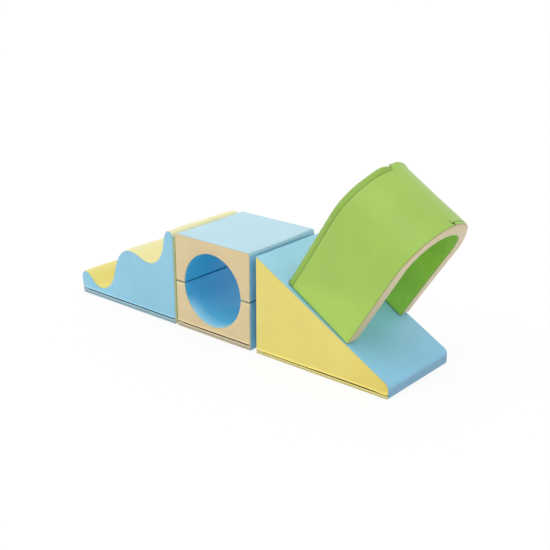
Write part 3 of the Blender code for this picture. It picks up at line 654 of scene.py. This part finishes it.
def end_panel(block, part, finish, seed, far=False, outline=None, node=None, crown=SIDE_CROWN, lip=None,
              sags=None):
    """The panel of one end: it turns over the rounded edge to the seam and swells inside it.

    It may have a lip at a height, and the lip may hang as a fly that sags by so much at each place. A
    painted highlight runs along the lip, and on the tunnel's lower half along its split.
    """
    outline = outline or block.outline
    radii = [stretch.far_round if far else stretch.near_round for stretch in outline]
    side = 1 if far else -1
    depths = [(END_SEAM - SEAM_GAP) * share for share in LIP_DEPTH_SHARES]
    rings = []
    for depth in depths:
        runs = outline_ring(outline, [rounded_inset(radius, depth) for radius in radii])
        rings.append(np.vstack([run[:-1] for run in runs]))
    sewn = np.array([stretch.name not in UNSEWN for stretch, run in zip(outline, runs) for _ in run[:-1]])
    inner = rings[-1]
    count = len(inner)
    grid_points = fill_points(inner)
    flat = [Vector(point) for point in np.vstack([inner, grid_points])]
    edges = [(index, (index + 1) % count) for index in range(count)]
    found = delaunay_2d_cdt(flat, edges, [], 1, CDT_NEAR)
    source = [origin[0] for origin in found[3]]
    base = (len(rings) - 1) * count
    faces = [tuple(base + source[index] for index in face) for face in found[2]]
    faces += ring_faces(len(rings), count)
    border = list(range(count))
    if far:
        faces = [tuple(reversed(face)) for face in faces]
        border.reverse()
    plane = np.vstack(rings + [grid_points])
    depth = np.concatenate([np.repeat(depths, count), np.zeros(len(grid_points))])
    outer = np.stack([plane[:, 0], side * (block.depth / 2 - depth), plane[:, 1]], axis=1)
    normals = point_normals(outer, faces)
    reach, nearest = distance_to_ring(plane, rings[0], sewn)
    height = sewn_height(outer, reach, seed) + puckers(set_at(nearest, 0.0), reach, seed)
    from_inner = np.concatenate([np.zeros(base + count), distance_to_ring(grid_points, inner, sewn)[0]])
    height += crown * smooth_share(from_inner / CROWN_RUN)
    if sags:
        places, drops = zip(*sags)
        rise = np.exp(-((plane[:, 1] - lip) / FLY_RISE) ** 2)
        fade = smooth_share(np.minimum(plane[:, 0] - places[0], places[-1] - plane[:, 0]) / FLY_FADE)
        height = height * (1 - rise) + FLY_BULGE * rise * fade
        normals = unit(normals * (1 - rise[:, None]) + np.outer(rise, (0, side, 0)))
        outer[:, 2] -= np.interp(plane[:, 0], places, drops) * fade * rise
    outer = outer + normals * height[:, None]
    # Painted highlights along the lip, and on the tunnel's lower half along the shoulder of its split
    painted_highlight = np.zeros(len(plane))
    if lip:
        painted_highlight = np.exp(-((plane[:, 1] - lip) / LIP_HIGHLIGHT_WIDTH) ** 2)
    if block.name == "lower":
        painted_highlight += SPLIT_HIGHLIGHT_SHARE * np.exp(-((plane[:, 1] - HALF_HEIGHT) / SPLIT_HIGHLIGHT_WIDTH) ** 2)
    marks = np.where(painted_highlight > LEAST_HIGHLIGHT, LIP_MARK + painted_highlight, reach)
    add_shell(block, part, outer, outer - normals * FABRIC, faces, border, finish, marks, node)


def zip_side(block, part, finish, zip_height, left, right, sags, seed):
    """The panels of the zip's side: the cover with its fly over the slit, and the border strip below."""
    lip = zip_height + ZIP_SLIT / 2 + FLY_LIFT
    strip_lip = zip_height - ZIP_SLIT / 2 + STRIP_RISE
    end_panel(block, part, finish, seed, outline=clipped(block.outline, lip, True), lip=lip,
              sags=[(left + (right - left) * place, sag) for place, sag in sags])
    # The border strip takes a greyer finish, painted shade
    end_panel(block, "border_panel", finish.split("_")[0] + "_border", seed + STRIP_SEED, node="border_strip",
              outline=clipped(block.outline, strip_lip, False), crown=0.0, lip=strip_lip)


def foam_piece(block):
    """The foam inside, a little below the covers."""
    widest = max(max(stretch.near_round, stretch.far_round) for stretch in block.outline)
    edge = [FOAM_INSET + (widest - FOAM_INSET) * share ** 2 for share in FOAM_SHARES]
    places = [depth - block.depth / 2 for depth in edge]
    places += [places[-1] * (1 - 2 * share) for share in FOAM_SHARES[1:-1]]
    places += [block.depth / 2 - depth for depth in reversed(edge)]
    rings = []
    for y in places:
        runs = outline_ring(block.outline, insets_at(block, y, FOAM_INSET))
        rings.append(set_at(np.vstack([run[:-1] for run in runs]), y))
    count = len(rings[0])
    vertices = np.vstack(rings)
    last = (len(rings) - 1) * count
    faces = [tuple(reversed(face)) for face in ring_faces(len(rings), count)]
    faces += [tuple(range(count)), tuple(range(last + count - 1, last - 1, -1))]
    add_piece(block, "foam", vertices, faces, "foam", np.zeros(len(vertices)), "foam_core")


def add_node(tree, kind, inputs=None, **settings):
    """Add a node, set it, and fill its inputs with numbers or with other nodes' outputs."""
    node = tree.nodes.new(kind)
    for key, value in settings.items():
        setattr(node, key, value)
    for key, value in (inputs or {}).items():
        if isinstance(value, bpy.types.NodeSocket):
            tree.links.new(value, node.inputs[key])
        else:
            node.inputs[key].default_value = value
    return node


def calculate(tree, operation, first, second=0.0):
    """The result of a sum on one or two values."""
    return add_node(tree, "ShaderNodeMath", {0: first, 1: second}, operation=operation).outputs[0]


def spread(tree, value, old, new):
    """A value carried over from one range to another."""
    inputs = {"Value": value, "From Min": old[0], "From Max": old[1], "To Min": new[0], "To Max": new[1]}
    return add_node(tree, "ShaderNodeMapRange", inputs).outputs[0]


def new_material(name, **settings):
    """A material with plain settings, its tree, and the place on the surface."""
    material = bpy.data.materials.new(name)
    material.use_nodes = True
    tree = material.node_tree
    for key, value in settings.items():
        tree.nodes["Principled BSDF"].inputs[key.replace("_", " ")].default_value = value
    place = add_node(tree, "ShaderNodeTexCoord").outputs["Object"]
    return material, tree, place


def noise_at(tree, place, size):
    """Noise of a size: its scale and its detail."""
    inputs = {"Vector": place, "Scale": size[0], "Detail": size[1]}
    return add_node(tree, "ShaderNodeTexNoise", inputs).outputs["Fac"]


def cells_at(tree, place, scale):
    """Round cells of a scale: how far each place is from its cell's middle."""
    return add_node(tree, "ShaderNodeTexVoronoi", {"Vector": place, "Scale": scale}).outputs["Distance"]


def relief(tree, height, size, **under):
    """The normals of a surface raised by a pattern, whose size is its strength and its depth."""
    inputs = {"Height": height, "Strength": size[0], "Distance": size[1], **under}
    return add_node(tree, "ShaderNodeBump", inputs).outputs[0]


def set_shader(tree, colour, tone, normals, roughness=None):
    """Give a material its colour in a tone, its normals and, where it varies, its roughness."""
    tint = add_node(tree, "ShaderNodeHueSaturation", {"Color": colour, "Value": tone}).outputs[0]
    for socket, value in (("Base Color", tint), ("Normal", normals), ("Roughness", roughness)):
        if value is not None:
            tree.links.new(value, tree.nodes["Principled BSDF"].inputs[socket])


def linear(red, green, blue):
    """A colour written as 0 to 255, as Blender's linear colour."""
    shares = [value / 255 for value in (red, green, blue)]
    return [share / 12.92 if share <= 0.04045 else ((share + 0.055) / 1.055) ** 2.4
            for share in shares] + [1.0]


def coated_fabric(name, colour, seam_tone=0.80, mottle=0.035, fades=(), fold=None):
    """Smooth coated fabric: pebble grain, faint mottling and creases, darker in the seams.

    The lips of folds get a painted highlight, each fade carries the colour along one axis to another one, and
    a fold is a sewn-down crease that runs level at its height. Some fades paint light and shade.
    """
    material, tree, place = new_material(name, IOR=1.5, Coat_Weight=0.10, Coat_Roughness=0.30)
    fine = noise_at(tree, place, FINE_NOISE)
    seam = add_node(tree, "ShaderNodeAttribute", attribute_name="seam").outputs["Fac"]
    axes = add_node(tree, "ShaderNodeSeparateXYZ", {"Vector": place}).outputs
    # The third shade is the painted highlight along lips
    shades = [spread(tree, fine, NOISE_RANGE, FINE_TONES), spread(tree, seam, SEAM_REACH, (seam_tone, 1.0)),
              spread(tree, seam, (LIP_MARK, 2 * LIP_MARK), (1.0, LIP_HIGHLIGHT_TONE))]
    if fold:
        away = calculate(tree, "ABSOLUTE", calculate(tree, "SUBTRACT", axes["Z"], fold))
        shades.append(spread(tree, away, (FOLD_LINE, FOLD_WIDTH), (FOLD_TONE, 1.0)))
    tone = spread(tree, noise_at(tree, place, BROAD_NOISE), NOISE_RANGE, (1 - mottle, 1 + mottle))
    for shade in shades:
        tone = calculate(tree, "MULTIPLY", tone, shade)
    base = linear(*colour)
    for axis, start, end, last_colour in fades:
        share = spread(tree, axes[axis], (start, end), (0.0, 1.0))
        inputs = {"Fac": share, "Color1": base, "Color2": linear(*last_colour)}
        base = add_node(tree, "ShaderNodeMixRGB", inputs).outputs[0]
    pebbles = relief(tree, cells_at(tree, place, PEBBLE_SCALE), PEBBLE_RELIEF)
    creases = relief(tree, noise_at(tree, place, CREASE_NOISE), CREASE_RELIEF, Normal=pebbles)
    set_shader(tree, base, tone, creases, spread(tree, fine, NOISE_RANGE, FABRIC_ROUGHNESS))
    return material


def zip_coil(name, direction, tape):
    """The coil of a zip on its tape: ribs across its direction."""
    material, tree, place = new_material(name, Roughness=0.45)
    along = add_node(tree, "ShaderNodeVectorMath", {0: place, 1: direction}, operation="DOT_PRODUCT")
    turns = calculate(tree, "MULTIPLY", along.outputs["Value"], 2 * pi / ZIP_PITCH)
    ribs = calculate(tree, "SINE", turns)
    wear = spread(tree, noise_at(tree, place, WEAR_NOISE), NOISE_RANGE, WEAR_TONES)
    tone = calculate(tree, "MULTIPLY", spread(tree, ribs, (-1.0, 1.0), RIB_TONES), wear)
    set_shader(tree, linear(*tape), tone, relief(tree, ribs, RIB_RELIEF))
    return material


def slider_metal():
    """Die-cast metal, a little brushed and dulled by use."""
    material, tree, place = new_material("slider_metal", Metallic=1.0)
    scratches = add_node(tree, "ShaderNodeMapping", {"Vector": place, "Scale": BRUSH_STRETCH}).outputs[0]
    brushed = noise_at(tree, scratches, BRUSH_NOISE)
    set_shader(tree, linear(*METAL_COLOUR), spread(tree, brushed, NOISE_RANGE, METAL_TONES),
               relief(tree, brushed, BRUSH_RELIEF), spread(tree, brushed, NOISE_RANGE, METAL_ROUGHNESS))
    return material


def pile_tape(name, colour):
    """Hook or loop tape: a short dull pile."""
    material, tree, place = new_material(name, Roughness=0.9, Sheen_Weight=0.4, Sheen_Roughness=0.5)
    pile = noise_at(tree, place, PILE_NOISE)
    tone = spread(tree, pile, NOISE_RANGE, PILE_TONES)
    set_shader(tree, linear(*colour), tone, relief(tree, pile, PILE_RELIEF))
    return material


def open_foam():
    """Cut foam with small open cells."""
    material, tree, place = new_material("foam", Roughness=0.95)
    cells = cells_at(tree, place, CELL_SCALE)
    tone = spread(tree, cells, CELL_RANGE, CELL_TONES)
    set_shader(tree, linear(*FOAM_COLOUR), tone, relief(tree, cells, CELL_RELIEF))
    return material


def seen_straight(tree):
    """1 for rays from the camera, in reflections and through clear things, and 0 for light on surfaces."""
    path = add_node(tree, "ShaderNodeLightPath").outputs
    seen = calculate(tree, "MAXIMUM", path["Is Camera Ray"], path["Is Glossy Ray"])
    return calculate(tree, "MAXIMUM", seen, path["Is Transmission Ray"])


def white_ground():
    """The pale floor: white to the camera and in reflections, and it keeps the object's shadow."""
    material, tree, _ = new_material("white_ground", Roughness=0.9, Base_Color=(*[FLOOR_TONE] * 3, 1))
    matt = tree.nodes["Principled BSDF"].outputs[0]
    glow = add_node(tree, "ShaderNodeEmission", {"Color": WHITE, "Strength": GLOW_STRENGTH}).outputs[0]
    share = calculate(tree, "MULTIPLY", seen_straight(tree), FLOOR_GLOW)
    mixed = add_node(tree, "ShaderNodeMixShader", {0: share, 1: matt, 2: glow}).outputs[0]
    tree.links.new(mixed, tree.nodes["Material Output"].inputs["Surface"])
    return material


def wave_outline():
    """Outline of the wave: base, tall back, and the top that runs over three crests to the nose."""
    keys = [((-WAVE_LENGTH * place, BLOCK_HEIGHT * height), radians(way))
            for place, height, way in WAVE_SHARES]
    runs = [curve(*start, *end, shares) for start, end, shares in zip(keys, keys[1:], HANDLE_SHARES)]
    runs.append(line(keys[-1][0], (-WAVE_LENGTH, 0)))
    return [Stretch("base", line((-WAVE_LENGTH, 0), (0, 0)), TIGHT_ROUND),
            Stretch("back", line((0, 0), keys[0][0]), crown=FACING_CROWN),
            Stretch("top", joined(*runs), TIGHT_ROUND, 1.0)]


def half_outline(base_round, split_round):
    """Outline of one tunnel half: base, sides, split faces and half of the bore."""
    side = TUNNEL_LENGTH / 2
    centre = (0, BLOCK_HEIGHT / 2)
    start = asin((HALF_HEIGHT - centre[1]) / BORE_RADIUS)
    bore = arc(centre, BORE_RADIUS, BORE_RADIUS, start, -pi - start)
    split = {"corner": TIGHT_ROUND, "near_round": split_round, "far_round": split_round}
    return [Stretch("base", line((-side, 0), (side, 0)), base_round),
            Stretch("right", line((side, 0), (side, HALF_HEIGHT)), TIGHT_ROUND, 1.0),
            Stretch("split_right", line((side, HALF_HEIGHT), bore[0]), **split),
            Stretch("bore", bore, TIGHT_ROUND),
            Stretch("split_left", line(bore[-1], (-side, HALF_HEIGHT)), **split),
            Stretch("left", line((-side, HALF_HEIGHT), (-side, 0)), base_round, FACING_CROWN)]


def ramp_outline():
    """Outline of the ramp: base, toe, slope and the back that faces the tunnel."""
    toe = (RAMP_LENGTH, RAMP_TOE)
    top = (0, RAMP_HEIGHT)
    return [Stretch("base", line((0, 0), (RAMP_LENGTH, 0)), TOE_BASE_ROUND),
            Stretch("toe", line((RAMP_LENGTH, 0), toe), TOE_ROUND),
            Stretch("slope", line(toe, top), APEX_ROUND),
            Stretch("back", line(top, (0, 0)), TIGHT_ROUND, 1.0)]


def arch_outline():
    """Outline of the arch, whose near leg stands at negative X and whose crown is parted by the zip."""
    side = ARCH_WIDTH / 2
    inner = side - ARCH_LEG_THICKNESS
    outer_leg = ARCH_HEIGHT - side
    inner_rise = ARCH_HEIGHT - ARCH_CROWN_THICKNESS - ARCH_INNER_LEG
    slit = asin(ZIP_SLIT / 2 / side)
    lap = slit + FLAP_LAP / side
    reach = slit + FLAP_REACH / side
    centre = (0, outer_leg)
    hollow = joined(line((-inner, 0), (-inner, ARCH_INNER_LEG)),
                    arc((0, ARCH_INNER_LEG), inner, inner_rise, pi, 0),
                    line((inner, ARCH_INNER_LEG), (inner, 0)))
    far_side = joined(line((side, 0), (side, outer_leg)), arc(centre, side, side, 0, pi / 2 - reach))
    near_side = joined(arc(centre, side, side, pi / 2 + lap, pi), line((-side, outer_leg), (-side, 0)))
    rimmed = (("far_side", far_side, 0.0),
              ("under_flap", arc(centre, side, side, pi / 2 - reach, pi / 2 - slit), 0.0),
              ("slit", arc(centre, side, side, pi / 2 - slit, pi / 2 + slit), 0.0),
              ("lap", arc(centre, side, side, pi / 2 + slit, pi / 2 + lap), 0.0),
              ("near_side", near_side, TIGHT_ROUND))
    return [Stretch("near_foot", line((-side, 0), (-inner, 0)), TIGHT_ROUND, near_round=ARCH_TOE_ROUND),
            Stretch("hollow", hollow, TIGHT_ROUND),
            Stretch("far_foot", line((inner, 0), (side, 0)), TIGHT_ROUND, near_round=ARCH_TOE_ROUND),
            *(Stretch(*stretch, far_round=ARCH_RIM_ROUND) for stretch in rimmed)]


def far_top_swell(points):
    """The top of the tunnel stands a little prouder along its far edge."""
    share = smooth_share(-points[:, 1] / TOP_SWELL_RUN) * smooth_share(1 - points[:, 2] / TOP_SWELL_DEPTH)
    return np.outer(-TOP_SWELL * share, (0, 0, 1))


def rim_swell(points):
    """The arch's rolled rim stands fuller beside the flap."""
    from_centre = points[:, [0, 2]] - (0, ARCH_HEIGHT - ARCH_WIDTH / 2)
    turn = np.arctan2(from_centre[:, 1], from_centre[:, 0])
    share = np.exp(-((turn - RIM_SWELL_TURN) / RIM_SWELL_SPAN) ** 2)
    share *= smooth_share((points[:, 1] - ARCH_DEPTH / 2 + RIM_SWELL_START) / RIM_SWELL_RUN)
    share *= smooth_share((np.linalg.norm(from_centre, axis=1) - RIM_SWELL_INNER) / RIM_SWELL_RUN)
    return RIM_SWELL * share[:, None] * np.stack([np.cos(turn), np.zeros(len(turn)), np.sin(turn)], axis=1)


def leg_back(points):
    """The downhill end of the arch's far leg stands back towards its foot."""
    share = smooth_share((points[:, 0] - LEG_BACK_START) / LEG_BACK_RUN)
    share *= np.clip(0.5 - points[:, 1] / ARCH_DEPTH, 0.0, 1.0)
    return np.outer(share * np.interp(points[:, 2], *zip(*LEG_BACK)), (0, 1, 0))


def dress_wave():
    """The wave block."""
    place = Matrix.Translation((-TUNNEL_LENGTH / 2 - WAVE_GAP, 0, 0))
    block = Block("wave", "wave", wave_outline(), BLOCK_DEPTH, place)
    foam_piece(block)
    wrap_panel(block, "base_panel", "sky", 1.1)
    wrap_panel(block, "back_panel", "lemon_back", 2.2)
    wrap_panel(block, "top_panel", "lemon", 3.3)
    zip_side(block, "near_side_panel", "sky", ZIP_HEIGHT, -WAVE_LENGTH, 0, WAVE_SAGS, 4.4)
    end_panel(block, "far_side_panel", "sky", 5.5, far=True)


def dress_half(name, place, rounds, finishes, zip_panel, plain_panel, seed):
    """One half of the tunnel, zip side near and channel up in its own frame."""
    block = Block(name, "tunnel_" + name, half_outline(*rounds), BLOCK_DEPTH, place,
                  swells=(far_top_swell,) if name == "upper" else ())
    bore_finish, lip_finish = finishes
    foam_piece(block)
    # The base is the top of the upper half: its paler finish is a painted sheen
    wrap_panel(block, "base_panel", "pale", seed)
    wrap_panel(block, "right_panel", "sky_gap", seed + 1)
    wrap_panel(block, "left_panel", "sky", seed + 2)
    wrap_panel(block, "channel_panel", bore_finish, seed + 3, ["bore"])
    past_lip = BLOCK_DEPTH - LIP_LENGTH
    # The lips at the ends of the split: painted shade on the upper half, a painted highlight on the lower
    for split in ("split_right", "split_left"):
        for part, finish, start, end in (("_near_lip", lip_finish, END_SEAM, past_lip),
                                         ("_panel", "bore", LIP_LENGTH, LIP_LENGTH),
                                         ("_far_lip", lip_finish, past_lip, END_SEAM)):
            wrap_panel(block, split + part, finish, seed + 3, [split], "channel_cover", start, end,
                       sewn_ends=False)
    side = TUNNEL_LENGTH / 2
    zip_side(block, zip_panel, "beige", ZIP_HEIGHT, -side, side, TUNNEL_SAGS, seed + 4)
    end_panel(block, plain_panel, "beige", seed + 5, far=True)


def dress_ramp():
    """The wedge ramp."""
    block = Block("ramp", "ramp", ramp_outline(), BLOCK_DEPTH, RAMP_PLACE)
    foam_piece(block)
    wrap_panel(block, "base_panel", "sky", 31.1)
    wrap_panel(block, "toe_panel", "sky_toe", 33.3, sewn_sides=False)
    wrap_panel(block, "slope_panel", "sky_slope", 33.3, sewn_sides=False)
    wrap_panel(block, "back_panel", "sky", 34.4)
    zip_side(block, "near_side_panel", "lemon_side", RAMP_ZIP_HEIGHT, 0, RAMP_LENGTH, RAMP_SAGS, 35.5)
    end_panel(block, "far_side_panel", "lemon_side", 36.6, far=True)


def arch_flap(block):
    """The padded flap over the crown: it rises softly from its near edge and lifts over the rolled rim."""
    side = ARCH_WIDTH / 2
    slit = asin(ZIP_SLIT / 2 / side)
    first, last = pi / 2 - slit - FLAP_REACH / side, pi / 2 + slit + FLAP_LAP / side
    turns = np.array([first + (last - first) * (1 - cos(pi * step / FLAP_STEPS)) / 2
                      for step in range(FLAP_STEPS + 1)])
    from_near, from_far, from_slit = (last - turns) * side, (turns - first) * side, (pi / 2 - turns) * side
    shape_across = smooth_share((from_near + FLAP_NEAR_START) / FLAP_NEAR_RUN)
    shape_across *= np.sqrt(1 - (1 - np.minimum(from_far / FLAP_FAR_RUN, 1.0)) ** 2)
    ridge = FLAP_RIDGE * np.exp(-(from_slit / FLAP_RELIEF_WIDTH) ** 2)
    hem = SEAM_GAP + (FLAP_HEM - SEAM_GAP) * smooth_share(from_near / FLAP_NEAR_RUN)
    channel = FLAP_CHANNEL * np.exp(-(from_slit / FLAP_RELIEF_WIDTH) ** 2)
    places = np.array(rows_from_seam(block.depth - 2 * FLAP_END))
    heights = np.interp(places, *zip(*FLAP_HEIGHTS))
    ends = from_ends(places)
    heights = heights * (1 - (1 - np.minimum(ends / FLAP_HEM, 1.0)) ** 2 / 3)
    tops = np.maximum(heights[:, None] * shape_across, np.maximum(ridge, hem))
    bottoms = np.minimum(SEAM_GAP + channel, tops - FLAP_HEM / 2)
    layers = []
    for layer in (tops, bottoms):
        radius = side + layer
        y = np.broadcast_to((places + FLAP_END - block.depth / 2)[:, None], radius.shape)
        points = np.stack([np.cos(turns) * radius, y, ARCH_HEIGHT - side + np.sin(turns) * radius], axis=2)
        layers.append(points.reshape(-1, 3))
    # Dark lines at the flap's ends and near corners: stitching, with painted shadow of the gap under its
    # edges
    stitch_and_shadow = (ends[:, None] < FLAP_STITCH_AND_SHADOW) | ((from_near < FLAP_STITCH_AND_SHADOW) & (ends[:, None] < FLAP_TICK))
    seam = np.where(stitch_and_shadow, 0.0, PUCKER_REACH).ravel()
    add_shell(block, "flap", *layers, *grid_faces(*tops.shape), "green_flap", seam, "crown_flap")


def dress_arch():
    """The arch that stands astride the ramp and leans a little downhill."""
    lift = Matrix.Translation((0, ARCH_DEPTH / 2, ARCH_LIFT))
    block = Block("arch", "arch", arch_outline(), ARCH_DEPTH, SLOPE_PLACE @ lift, ARCH_LEAN,
                  (rim_swell, leg_back))
    rim = ARCH_RIM_ROUND + SEAM_GAP / 2
    rim_start = ARCH_DEPTH - ARCH_RIM_ROUND + SEAM_GAP / 2
    skin = ["far_side", "under_flap", "slit", "lap", "near_side"]
    foam_piece(block)
    wrap_panel(block, "near_outer_panel", "green", 41.1, skin[3:], end=rim)
    wrap_panel(block, "far_outer_panel", "green", 42.2, skin[:2], end=rim)
    wrap_panel(block, "rim_roll", "green_rim", 43.3, skin, "rim_band", start=rim_start)
    wrap_panel(block, "inner_panel", "leaf", 44.4, ["hollow"])
    wrap_panel(block, "near_foot_panel", "green", 45.5)
    wrap_panel(block, "far_foot_panel", "green", 46.6)
    end_panel(block, "downhill_panel", "beige_end", 47.7, crown=ARCH_CROWN)
    end_panel(block, "uphill_panel", "green_rim", 48.8, far=True, crown=ARCH_CROWN)
    arch_flap(block)


def finish_hardware():
    """Give the zips, the sliders and the hook and loop strips, which stay as they are, their materials."""
    metal = slider_metal()
    uphill = (SLOPE_PLACE.to_3x3() @ Vector((0, 1, 0))).normalized()
    for name, tape in ZIP_TAPES.items():
        direction = tuple(uphill) if name == "arch" else (1, 0, 0)
        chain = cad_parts[name + "_zip_chain"]
        chain.material_slots[0].material = zip_coil(name + "_coil", direction, tape)
        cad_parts[name + "_zip_slider"].material_slots[0].material = metal
    for kind, colour in (("hook", HOOK_COLOUR), ("loop", LOOP_COLOUR)):
        pile = pile_tape(kind + "_tape", colour)
        for name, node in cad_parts.items():
            if name.endswith(kind + "_strip"):
                node.material_slots[0].material = pile


def build_stage():
    """The white floor, the white surroundings and the soft key light."""
    mesh = bpy.data.meshes.new("floor")
    corners = [(x * FLOOR_REACH, y * FLOOR_REACH, FLOOR_LEVEL)
               for x, y in ((-1, -1), (1, -1), (1, 1), (-1, 1))]
    mesh.from_pydata(corners, [], [(0, 1, 2, 3)])
    mesh.materials.append(white_ground())
    floor = add_object("floor", mesh)
    world = bpy.data.worlds.new("studio")
    scene.world = world
    world.use_nodes = True
    tree = world.node_tree
    background = tree.nodes["Background"]
    background.inputs["Color"].default_value = WHITE
    strength = spread(tree, seen_straight(tree), (0.0, 1.0), (SKY_STRENGTH, 1.0))
    tree.links.new(strength, background.inputs["Strength"])
    light = bpy.data.lights.new("key", "SUN")
    light.energy = KEY_STRENGTH
    light.angle = KEY_ANGLE
    add_object("key", light).rotation_euler = Vector(KEY_FROM).to_track_quat("Z", "Y").to_euler()


def place_camera():
    """The camera at the photograph's angle, distance and lens."""
    azimuth, elevation = CAMERA_ANGLES
    back = Vector((sin(azimuth) * cos(elevation), -cos(azimuth) * cos(elevation), sin(elevation)))
    right = Vector((cos(azimuth), sin(azimuth), 0))
    up = back.cross(right)
    distance, aside, above = CAMERA_OFFSETS
    place = Vector((-TUNNEL_LENGTH / 2, -BLOCK_DEPTH / 2, 0)) + back * distance + right * aside + up * above
    data = bpy.data.cameras.new("camera")
    data.sensor_width = SENSOR
    data.lens = SENSOR * FOCAL_PIXELS / PHOTO_SIDE
    data.clip_end = CLIP_END
    camera = add_object("camera", data)
    camera.matrix_world = Matrix.Translation(place) @ Matrix((right, up, back)).transposed().to_4x4()
    scene.camera = camera


MATERIALS = {name: coated_fabric(name, **values) for name, values in FABRICS.items()}
MATERIALS["foam"] = open_foam()
scene.view_settings.view_transform = "Standard"
dress_wave()
# The lower half's bore floor carries painted light and its split lips a painted highlight; the upper half's
# split lips are painted shade
dress_half("lower", Matrix.Identity(4), (TIGHT_ROUND, SPLIT_ROUND), ("bore_floor", "split_lip"),
           "front_panel", "rear_panel", 11.0)
turned_over = Matrix.Translation((0, 0, BLOCK_HEIGHT)) @ Matrix.Rotation(pi, 4, "X")
dress_half("upper", turned_over, (SOFT_ROUND, SPLIT_EDGE_ROUND), ("bore", "split_shade"),
           "rear_panel", "front_panel", 21.0)
dress_ramp()
dress_arch()
finish_hardware()
build_stage()
place_camera()
bpy.context.view_layer.update()
